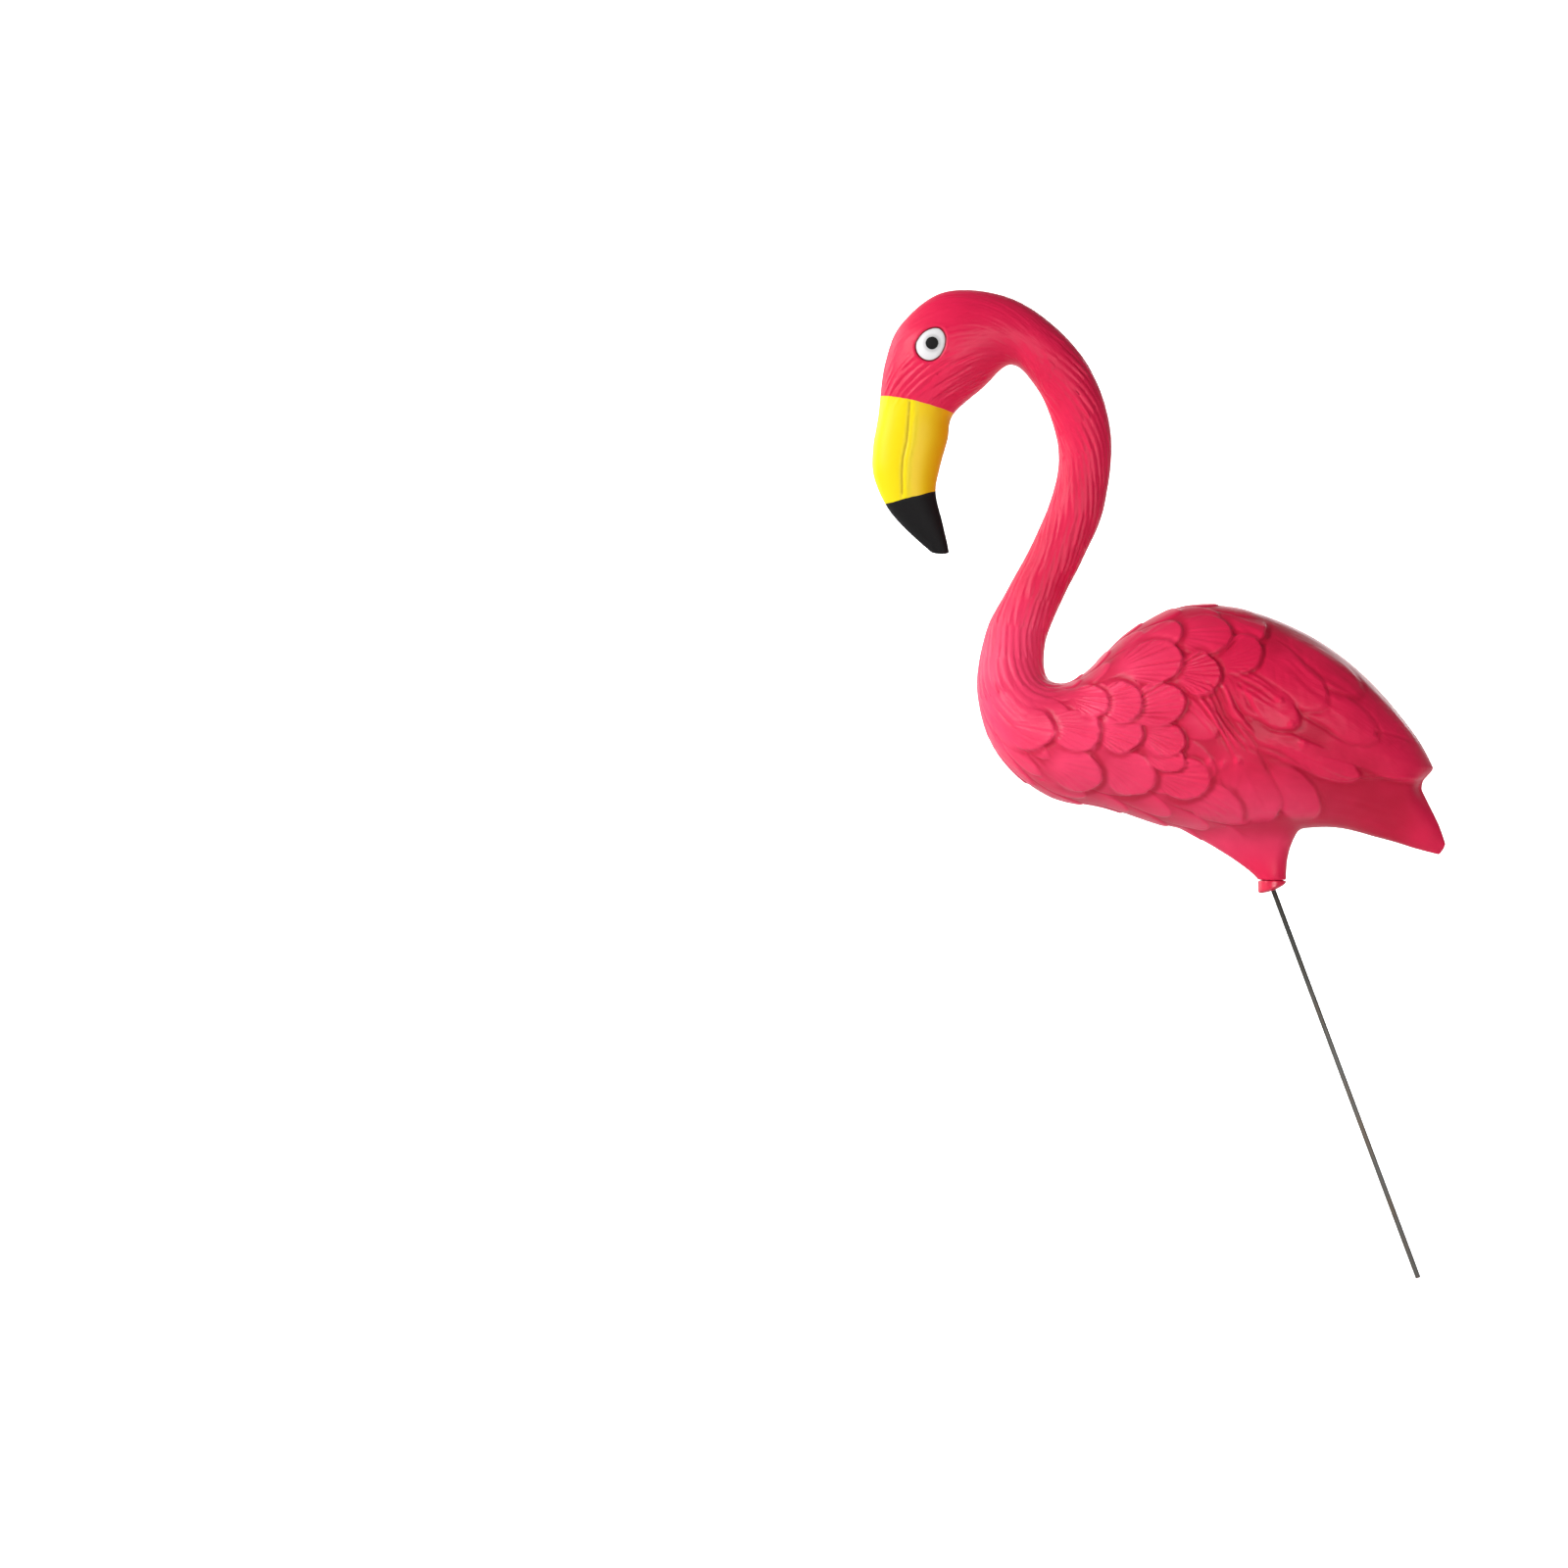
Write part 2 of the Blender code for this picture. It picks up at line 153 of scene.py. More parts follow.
# The long feathers of wing and flank, rearmost first
PLUMES = (
    ((1284, 782), (1340, 838), 42),
    ((1246, 762), (1294, 842), 42),
    ((1278, 752), (1384, 796), 30),
    ((1345, 668), (1463, 780), 48),
    ((1340, 752), (1464, 788), 42),
    ((1300, 690), (1398, 756), 40),
    ((1285, 632), (1382, 708), 36),
    ((1262, 652), (1346, 724), 42),
    ((1236, 688), (1318, 742), 38),
)
PLUME_SHOULDER = 0.62
PLUME_ROOT_FADE = (-0.05, 0.15)
PLUME_EDGE = (1.0, 0.84)
PLUME_WAVES = 0.14
PLUME_BARB_SLANT = 0.45
PLUME_BARB_PITCH = 6.0
PLUME_BARB_RELIEF = 0.16
PLUME_SHAFT_WIDTH = 1.8
PLUME_SHAFT_RELIEF = 0.08
PLUME_ROOT_HEIGHT = 0.25
PLUME_RISE = 0.50
PLUME_CROWN = 0.16
PLUME_GROOVE = (1.07, 0.08)
PLUME_GROOVE_DEPTH = 0.20

# Patches of fine lines: centre, half length and half width in photo pixels, slope down to the
# right in degrees, spacing in pixels and strength
PATCHES = (
    ((1245, 735), 50, 30, 57, 6.2, 0.62),
    ((1222, 724), 40, 20, 50, 5.5, 0.34),
    ((1272, 702), 48, 18, 27, 7.5, 0.50),
    ((1236, 818), 28, 16, 22, 7.0, 0.20),
    ((1050, 776), 34, 18, 42, 6.5, 0.22),
    ((1120, 820), 62, 16, 14, 8.0, 0.16),
    ((1336, 690), 66, 28, 38, 9.5, 0.26),
    ((1300, 770), 46, 16, 24, 7.5, 0.26),
    ((1200, 640), 46, 12, -8, 7.0, 0.16),
    ((1385, 832), 66, 26, 14, 12.0, 0.10),
)
BUMPS = ((1227, 779), (1241, 780), (1256, 777), (1310, 741), (1322, 760), (1298, 716))

# Rows of feathers where none is listed: on the back, the breast's front and underneath
COVERT_ROW_PITCH = 40
COVERT_ROW_START = 18
COVERT_TIP = 34
COVERTS_ACROSS = 8
COVERT_DRIFT = 0.35
COVERT_HALF_WIDTH = 0.52
COVERT_EDGE = 0.16
COVERT_RISE = 1.6
FEATHER_LEVEL = 0.45

# Where the relief lies, in rungs, angles round the bird and photo pixels
BREAST_START = (16.2, 17.6)
COVERTS_END = (1250, 1295)
UNDERSIDE = (-1.35, -0.9)
WING_EDGE_START = (1296, 1345)
WING_EDGE_HEIGHT = (770, 796)
WING_EDGE_SLOPE = (1300, 1380)
WING_RIM = (1318, 1345)
WING_RIM_ABOVE_EDGE = 3.0
WING_RIM_WIDTH = 2.2
WING_RIM_RELIEF = 0.28
WING_STEP = 0.85
HEAD_START = (5.0, 5.8)
NECK_START = (8.6, 10.5)
NECK_END = (16.4, 17.8)
NECK_LOCKS = 14
LOCK_LENGTH = 32
LOCK_LEAN = -2.4
LOCK_LEVEL = 0.45
CHEEK_SLANT = 0.013
CHEEK_STROKES = 17.0
FINE_CHEEK_STROKES = 31.0
CHEEK_RELIEF = 0.85
TAIL_THINS = (1420, 1458)
EYE_CENTRE = (948.5, 353.9)
EYE_RADII = (14.2, 16.2, 17.6, 15.2, 13.4, 12.9, 14.2, 15.2, 16.0, 16.0, 14.8, 13.6)
PUPIL_CENTRE = (950, 353)
PUPIL_RADIUS = 6.6
MOUTH_LINE_HEIGHTS = (408, 434, 451, 469, 484, 512)
MOUTH_LINE = (928, 926.5, 925, 921, 920, 920.5)
LIP_LINE = (935.5, 934.7, 933, 928.5, 927.5, 927)
MOUTH_TOP = (404, 414)
MOUTH_FOOT = (514, 504)
MOUTH_GROOVE_WIDTH = 1.5
LIP_RELIEF = 0.45
EYE_LINE = (1.04, 0.09)
LID = (1.24, 0.12)
LID_RELIEF = 0.25
BEAK_REAR = (1000, 980)

# Borders of the paint, left to right in photo pixels
YELLOW_BORDER = ((880, 401), (903, 405), (931, 410), (973, 422), (1000, 430))
BLACK_BORDER = ((880, 521), (905, 514), (930, 508), (955, 501), (980, 494))

# The boss, in photo pixels above its end, with the power of the height each flare grows with
BOSS_HEIGHT = 72
BOSS_FORWARD_FLARE = 122
BOSS_REARWARD_FLARE = 36
BOSS_SIDE_FLARE = 44
BOSS_FORWARD_CURVE = 1.28
BOSS_REARWARD_CURVE = 2.6
BOSS_SIDE_CURVE = 3
BOSS_SMOOTH = (842, 874)
BOSS_BLEND_FRONT = (1158, 1196)
BOSS_BLEND_REAR = (1340, 1366)
BOSS_BLEND_TOP = (802, 826)
BOSS_KEPT_END = (886, 870)
BOSS_RINGS = 64
BOSS_END_RINGS = 12
BOSS_SEGMENTS = 96
BOSS_EDGE = 0.0004

# Where the tips of tail and beak are softened
TAIL_TIP = (1440, 1452)
BEAK_TIP_TOP = (552, 560)
BEAK_TIP_REAR = (985, 980)

# How finely the bird is worked before it is thinned
SKIN_RINGS = 560
SKIN_SEGMENTS = 256
CAP_RINGS = 8
RUN_SAMPLES = 400
VOXEL = 0.0006
BIRD_TRIANGLES = 190000
SOFTEN_ITERATIONS = 90

# How the paint is laid: the borders' softness and wobble in photo pixels, where breast and belly
# are painted lighter as painted light, in world metres, how much the grooves are darkened as
# painted shade, and how glossy it all is
BORDER_SOFTNESS = 0.35
BORDER_WOBBLE = 2.4
BREAST_X = (-0.10, -0.19)
BREAST_Z = (0.42, 0.37)
BELLY_X = (-0.02, -0.10)
BELLY_Z = (0.31, 0.27)
ABOVE_BOSS_Z = (0.238, 0.268)
PAINTED_LIGHT_SHARE = 0.65
GROOVE_SHADE_SHARE = 0.80
MOTTLE_SHARE = 0.22
RESIN_SPECULAR = 0.20
BLACK_DULLNESS = 0.25
HAIR_STRETCH = (0.035, 0.55, 1.0)
BEYOND_BEAK = 1000.0
EYE_PIXELS = 15.5
MOUTH_LINE_FADE = 9.0
DRAWN_STRETCH = (2600.0, 2600.0, 60.0)
COLLAR_RINGS = 60
COLLAR_SEGMENTS = 96
ROD_SEGMENTS = 48

# The sweep: its length, width, level part and bend, where its front edge and middle lie
SWEEP_LENGTH = 12.0
SWEEP_WIDTH = 14.0
SWEEP_LEVEL = 5.5
SWEEP_BEND = 1.5
SWEEP_FRONT = -3.4
SWEEP_MIDDLE = -0.38
SWEEP_GAP = 0.0005
FLOOR_GLOW = 0.70
WORLD_LIGHT = 0.17

# Each lamp's name, place, aim, size, power and spread in degrees
BIRD_MIDDLE = (-0.15, 0.0, 0.38)
LAMPS = (
    ("key", (-2.2, -1.2, 1.3), BIRD_MIDDLE, (0.8, 1.0), 13.0, 90),
    ("left", (-1.8, 0.7, 1.0), BIRD_MIDDLE, (1.2, 1.6), 12.0, 120),
    ("front", (0.5, -2.6, 0.3), BIRD_MIDDLE, (1.2, 0.8), 15.0, 120),
    ("behind", (0.6, 3.0, 1.2), BIRD_MIDDLE, (1.4, 1.0), 4.0, 90),
    ("backdrop", (-0.4, 1.4, 2.8), (-0.4, 3.5, 0.6), (3.6, 1.0), 85.0, 130),
)

ROD_AXIS = Vector((-math.sin(ROD_LEAN), 0.0, math.cos(ROD_LEAN)))
DOME_FOOT = ROD_AXIS * (ROD_VISIBLE_LENGTH + COLLAR_DOME)
BOSS_END = DOME_FOOT + Vector((0.0, 0.0, COLLAR_HEIGHT))


def length_setting(name, description, default, high, low=0.0, precision=4):
    return bpy.props.FloatProperty(name=name, description=description, default=default, min=low,
                                   max=high, unit="LENGTH", precision=precision)


def colour_setting(name, description, default):
    return bpy.props.FloatVectorProperty(name=name, description=description, default=default,
                                         subtype="COLOR", size=3, min=0.0, max=1.0)


class BirdSettings(bpy.types.PropertyGroup):
    feather_relief: length_setting(
        "Feather relief", "Height of a feather's tip above its root", 0.0019, 0.004)
    strand_relief: length_setting(
        "Strand relief", "Depth of the flowing strands on neck and head", 0.0011, 0.002)
    eye_dome: length_setting("Eye dome", "How far the eyes bulge", 0.0010, 0.003)
    groove_depth: length_setting(
        "Groove depth", "Depth of the mouth line and of the line round the eyes", 0.0008, 0.002)
    pink: colour_setting("Pink", "Colour of the resin", (0.68, 0.012, 0.066))
    # Deep pink is painted shade in the grooves, round the eyes and along the mouth; it is also the tone of
    # the random mottle and darkens the eyes' outline
    deep_pink: colour_setting("Deep pink", "Colour in the grooves", (0.40, 0.003, 0.026))
    # The pale pink is painted light: breast and belly are painted a lighter pink, as if lit more strongly
    painted_light_pink: colour_setting(
        "Pale pink", "Colour the resin fades to on breast and belly", (0.84, 0.060, 0.155))
    yellow: colour_setting("Yellow", "Paint of the beak", (0.78, 0.60, 0.002))
    # Amber is partly the paint's own tone, partly painted shade on the beak's throat side
    amber: colour_setting("Amber", "Shading of the beak's lower half", (0.74, 0.33, 0.0))
    black: colour_setting(
        "Black", "Paint of the beak's tip and the pupils", (0.003, 0.0025, 0.003))
    white: colour_setting("White", "Paint of the eyes", (0.68, 0.67, 0.68))


class StakeSettings(bpy.types.PropertyGroup):
    end_bevel: length_setting("End bevel", "Broken edge of the rod's cut end", 0.0002, 0.001)
    collar_edge: length_setting("Collar edge", "Rounding of the collar's edges", 0.0006, 0.002)
    collar_pink: colour_setting("Collar pink", "Colour of the collar", (0.66, 0.010, 0.055))
    steel: colour_setting("Steel", "Colour of the wire", (0.14, 0.134, 0.124))


class StudioSettings(bpy.types.PropertyGroup):
    floor_colour: colour_setting("Floor", "Colour of floor and backdrop", (0.88, 0.88, 0.88))
    camera_distance: length_setting(
        "Camera distance", "From the camera to the bird's middle plane", 3.2, 10.0, 0.5, 2)
    view_width: length_setting(
        "View width", "Width the picture spans at the bird", 1600 * PIXEL, 5.0, 0.1, 2)


def ramp(low, high, value):
    """A smooth step from 0 at low to 1 at high."""
    share = np.clip((value - low) / (high - low), 0.0, 1.0)
    return share * share * (3.0 - 2.0 * share)


def curve_through(values, place):
    """A smooth curve through values set at 0, 1, 2 and so on, read at each place."""
    points = np.asarray(values, float)
    last = len(points) - 1
    left = np.clip(np.floor(place).astype(int), 0, last - 1)
    share = place - left
    start, end = points[left], points[left + 1]
    start_slope = 0.5 * (end - points[np.maximum(left - 1, 0)])
    end_slope = 0.5 * (points[np.minimum(left + 2, last)] - start)
    bend = 3.0 * (end - start) - 2.0 * start_slope - end_slope
    twist = 2.0 * (start - end) + start_slope + end_slope
    return start + share * (start_slope + share * (bend + share * twist))


def rungs_at(place):
    """The side view's two outline points and half width, in pixels, at places along the bird."""
    under_x, under_y, over_x, over_y, width = (curve_through(column, place) for column in zip(*RUNGS))
    return under_x, under_y, over_x, over_y, width * BODY_WIDTH / 2 / PIXEL


def run_along(place):
    """Distance along the bird's middle line, in pixels, up to each place."""
    samples = np.linspace(0, LAST_RUNG, RUN_SAMPLES)
    under_x, under_y, over_x, over_y, _ = rungs_at(samples)
    steps = np.hypot(np.diff(under_x + over_x), np.diff(under_y + over_y)) / 2
    return np.interp(place, samples, np.concatenate(([0.0], np.cumsum(steps))))


def bare_skin(place, angle, cap):
    """The smooth bird in pixels: photo x, photo y and depth. cap runs from -1 to 1 over its two ends."""
    under_x, under_y, over_x, over_y, half_width = rungs_at(place)
    height = np.sin(angle)
    shrink = np.sqrt(np.clip(1.0 - cap * cap, 0.0, 1.0))
    x = (under_x + over_x) / 2 + shrink * height * (over_x - under_x) / 2
    y = (under_y + over_y) / 2 + shrink * height * (over_y - under_y) / 2
    y = y - np.minimum(cap, 0.0) * TIP_CAP
    x = x + np.maximum(cap, 0.0) * TAIL_CAP
    rear = ramp(LAST_RUNG - REAR_EDGE_FADE, LAST_RUNG, place)
    x = x + rear * np.interp(y, REAR_EDGE_HEIGHTS, REAR_EDGE_REACH)
    top_heavy = WING_OVER_TAIL * ramp(*REAR_NARROWS, x)
    depth = shrink * half_width * np.cos(angle) * (1.0 + top_heavy * height)
    return x, y, depth


def skin_rows(rows):
    """Place along the bird and cap for rows numbered from 0 at the beak's tip to SKIN_RINGS at the tail."""
    samples = np.linspace(0.0, LAST_RUNG, RUN_SAMPLES)
    run = run_along(samples)
    share = np.clip((rows - CAP_RINGS) / (SKIN_RINGS - 2 * CAP_RINGS), 0.0, 1.0)
    place = np.interp(share * run[-1], run, samples)
    before = np.clip(rows / CAP_RINGS, 0.0, 1.0)
    after = np.clip((SKIN_RINGS - rows) / CAP_RINGS, 0.0, 1.0)
    cap = np.cos(after * math.pi / 2) - np.cos(before * math.pi / 2)
    return place, cap


def skin_points(rows, angle):
    """Points of the smooth bird in world metres, for row numbers and angles."""
    place, cap = skin_rows(rows)
    x, y, depth = bare_skin(place, angle, cap)
    return np.stack((BOSS_END.x + (x - PHOTO_BOSS_END[0]) * PIXEL, depth * PIXEL,
                     BOSS_END.z + (PHOTO_BOSS_END[1] - y) * PIXEL), -1)


def photo_xy(points):
    """Photo x and y of points in world metres."""
    return (PHOTO_BOSS_END[0] + (points[:, 0] - BOSS_END.x) / PIXEL,
            PHOTO_BOSS_END[1] - (points[:, 2] - BOSS_END.z) / PIXEL)


class SkinMap:
    """Finds the row number and angle of the smooth bird's skin nearest to given points."""

    def __init__(self):
        rows, angle = np.meshgrid(np.arange(SKIN_RINGS + 1.0),
                                  2 * math.pi * np.arange(SKIN_SEGMENTS) / SKIN_SEGMENTS, indexing="ij")
        self.points = skin_points(rows, angle)
        self.by_row = np.gradient(self.points, axis=0).reshape(-1, 3)
        turned = np.roll(self.points, -1, axis=1) - np.roll(self.points, 1, axis=1)
        self.by_segment = turned.reshape(-1, 3) / 2
        self.points = self.points.reshape(-1, 3)
        self.tree = KDTree(len(self.points))
        for index, point in enumerate(self.points):
            self.tree.insert(point, index)
        self.tree.balance()

    def locate(self, points):
        nearest = np.array([self.tree.find(point)[1] for point in points])
        away = points - self.points[nearest]
        along, around = self.by_row[nearest], self.by_segment[nearest]
        a, b, c = (along * along).sum(1), (along * around).sum(1), (around * around).sum(1)
        p, q = (away * along).sum(1), (away * around).sum(1)
        whole = np.maximum(a * c - b * b, 1e-18)
        row = nearest // SKIN_SEGMENTS + np.clip((c * p - b * q) / whole, -1.0, 1.0)
        segment = nearest % SKIN_SEGMENTS + np.clip((a * q - b * p) / whole, -1.0, 1.0)
        return np.clip(row, 0.0, SKIN_RINGS), 2 * math.pi * segment / SKIN_SEGMENTS


def scatter(i, j, seed):
    """A steady random share for each pair of whole numbers."""
    value = np.sin(i * 127.1 + j * 311.7 + seed * 74.7) * 43758.5453
    return value - np.floor(value)


def noise(u, v, seed):
    """Smooth noise from 0 to 1 with one bump or hollow for each unit of u and v."""
    i, j = np.floor(u), np.floor(v)
    s, t = u - i, v - j
    s, t = s * s * (3 - 2 * s), t * t * (3 - 2 * t)
    low = scatter(i, j, seed) * (1 - s) + scatter(i + 1, j, seed) * s
    high = scatter(i, j + 1, seed) * (1 - s) + scatter(i + 1, j + 1, seed) * s
    return low * (1 - t) + high * t


def coverts(run, angle):
    """Height from 0 to 1 of staggered rows of overlapping feathers with round tips."""
    height = np.zeros_like(run)
    rows = (run - COVERT_ROW_START) / COVERT_ROW_PITCH
    for back in (1, 0, -1):
        row = np.floor(rows) + back
        past_row = rows - row
        across = angle * COVERTS_ACROSS / math.pi + COVERT_DRIFT * past_row + 0.5 * np.mod(row, 2)
        offset = (across - np.round(across)) / COVERT_HALF_WIDTH
        tip = COVERT_TIP / COVERT_ROW_PITCH
        reach = np.maximum(past_row, 0.0) / tip
        inside = ramp(0.0, COVERT_EDGE, 1.0 - np.hypot(reach, offset))
        rise = np.clip((past_row + 1.0) / (1.0 + tip), 0.0, 1.0)
        height = np.maximum(height, inside * rise ** COVERT_RISE)
    return height


def hump(value, middle, width):
    """A smooth rise to 1 at the middle and back to 0."""
    return np.exp(-((value - middle) / width) ** 2)


def from_point(x, y, start, ahead):
    """Distances in pixels from a point: along a direction and to the right of it."""
    dx, dy = x - start[0], y - start[1]
    return dx * ahead[0] + dy * ahead[1], dy * ahead[0] - dx * ahead[1]


def on_feather(x, y, root, tip, width):
    """Place along a feather from 0 at its root to 1, place across it from -1 to 1, and its length."""
    reach = math.dist(root, tip)
    ahead = ((tip[0] - root[0]) / reach, (tip[1] - root[1]) / reach)
    along, aside = from_point(x, y, root, ahead)
    return along / reach, aside / (width / 2), reach


def lay_scale(height, x, y, root, tip, width, fan, seed):
    """Lays one round feather over the heights so far: a rising fan with an uneven, beaded tip."""
    along, aside, reach = on_feather(x, y, root, tip, width)
    turn = np.arctan2(aside * width / 2, (along + FAN_CENTRE) * reach)
    narrow = SCALE_ROOT_WIDTH + SCALE_WIDENING * ramp(SCALE_ROOT_FADE[0], SCALE_SHOULDER, along)
    past = np.maximum(along - SCALE_SHOULDER, 0.0) / (1.0 - SCALE_SHOULDER)
    at_tip = ramp(*SCALE_TIP_START, along)
    uneven = (SCALE_LOBES * (noise(turn * 3.5, 0.0, seed) - 0.5)
              + SCALE_NICKS * (noise(turn * 13.0, 0.0, seed) - 0.5))
    edge = np.hypot(past, aside / narrow) + uneven * at_tip
    inside = ramp(*SCALE_EDGE, edge) * ramp(*SCALE_ROOT_FADE, along)
    barbs = 1.4 * (noise(turn * 17.0, along * 1.3, seed + 50) - 0.5) + 0.4 * np.sin(turn * 58.0 + seed)
    barbs = barbs * ramp(0.0, 0.4, along) * ramp(*FAN_EDGE, edge)
    bead = hump(edge, *BEAD) * at_tip * (0.5 + noise(turn * 4.0, along, seed))
    own = SCALE_ROOT_HEIGHT + SCALE_RISE * np.clip(along, 0.0, 1.0) - SCALE_CROWN * aside * aside
    own = own + BEAD_RELIEF * bead + FAN_RELIEF * fan * barbs
    groove = hump(edge, *SCALE_GROOVE) * ramp(0.15, 0.6, along)
    return height * (1 - inside) + own * inside - SCALE_GROOVE_DEPTH * groove * (1 - inside)


def lay_plume(height, x, y, root, tip, width, seed):
    """Lays one long feather over the heights so far: a low blade with a shaft and slanting barbs."""
    along, aside, reach = on_feather(x, y, root, tip, width)
    past = np.maximum(along - PLUME_SHOULDER, 0.0) / (1.0 - PLUME_SHOULDER)
    edge = np.hypot(past, aside) + PLUME_WAVES * (noise(along * 5.0, np.sign(aside), seed) - 0.5)
    inside = ramp(*PLUME_EDGE, edge) * ramp(*PLUME_ROOT_FADE, along)
    slant = (along * reach - np.abs(aside) * width * PLUME_BARB_SLANT) / PLUME_BARB_PITCH
    barbs = (noise(slant, aside * 1.5, seed) - 0.5) * ramp(1.0, 0.7, edge)
    shaft = hump(aside * width / 2, 0.0, PLUME_SHAFT_WIDTH) * ramp(1.0, 0.8, along)
    own = PLUME_ROOT_HEIGHT + PLUME_RISE * np.clip(along, 0.0, 1.0) - PLUME_CROWN * aside * aside
    own = own + PLUME_BARB_RELIEF * barbs + PLUME_SHAFT_RELIEF * shaft
    groove = hump(edge, *PLUME_GROOVE) * ramp(0.1, 0.4, along)
    return height * (1 - inside) + own * inside - PLUME_GROOVE_DEPTH * groove * (1 - inside)


def fine_lines(x, y):
    """Patches of hair-like lines and a few small beads, as heights around 0."""
    height = np.zeros_like(x)
    for seed, (centre, half_length, half_width, slope, spacing, strength) in enumerate(PATCHES):
        ahead = (math.cos(math.radians(slope)), math.sin(math.radians(slope)))
        along, aside = from_point(x, y, centre, ahead)
        ragged = 0.7 * (noise(aside / spacing, along / 60.0, seed + 40) - 0.5)
        within = ramp(1.0, 0.35, np.hypot(along / half_length, aside / half_width) + ragged)
        waver = 2.4 * noise(along / 34.0, aside / 22.0, seed)
        lines = 0.16 * np.sin(2 * math.pi * aside / spacing + 2.5 * waver)
        lines = lines + 0.85 * (noise(aside / spacing * 1.6 + waver, along / 46.0, seed + 80) - 0.5)
        height = height + 2.0 * strength * within * lines
    for centre in BUMPS:
        height = height + 0.60 * hump(np.hypot(x - centre[0], y - centre[1]), 0.0, 3.8)
    return height


def strands(run, angle, count, length, lean, seed):
    """Height from 0 to 1 of long overlapping locks that flow along the bird."""
    height = np.zeros_like(run)
    rows = run / length
    for back in (1, 0):
        row = np.floor(rows) - back
        past = (rows - row) / 2
        across = angle * count / math.pi + lean * past + scatter(row, 0.0, seed) * 3
        across = across + 0.9 * (noise(run / 46.0, angle * 1.7, seed + 1) - 0.5)
        lock = np.round(across)
        slip = 0.25 * (scatter(row, lock, seed + 2) - 0.5)
        width = 0.62 * np.sqrt(np.clip(1.0 - ((past - 0.5) / 0.5) ** 2, 0.0, 1.0))
        offset = (across - lock + slip) / np.maximum(width, 1e-3)
        body = np.clip(1.0 - offset * offset, 0.0, 1.0)
        height = np.maximum(height, body * (0.35 + 0.65 * past) * (0.6 + 0.4 * scatter(row, lock, seed + 3)))
    return height


def eye_share(x, y):
    """Distance from the eye's centre as a share of the eye's outline."""
    dx, dy = x - EYE_CENTRE[0], EYE_CENTRE[1] - y
    turn = np.mod(np.arctan2(dy, dx), 2 * math.pi) / (2 * math.pi) * len(EYE_RADII)
    around = EYE_RADII[-1:] + EYE_RADII + EYE_RADII[:2]
    return np.hypot(dx, dy) / curve_through(around, turn + 1.0)


def feathers(x, y, run, angle):
    """The carved feathers' height, around 0 to 1, on breast, back and wings."""
    rows = coverts(run, angle) * (1.0 - ramp(*COVERTS_END, x))
    placed = 0.6 * rows
    for seed, (root, tip, width) in enumerate(PLUMES):
        placed = lay_plume(placed, x, y, root, tip, width, seed)
    for seed, (root, tip, width, fan) in enumerate(SCALES):
        placed = lay_scale(placed, x, y, root, tip, width, fan, seed + 20)
    lumps = 0.22 * (noise(x / 24.0, y / 20.0, 7) - 0.5) + 0.10 * (noise(x / 9.0, y / 9.0, 8) - 0.5)
    placed = placed + fine_lines(x, y) + lumps
    turned_away = ramp(0.95, 1.2, np.abs(angle))
    return placed * (1.0 - turned_away) + 0.7 * rows * turned_away


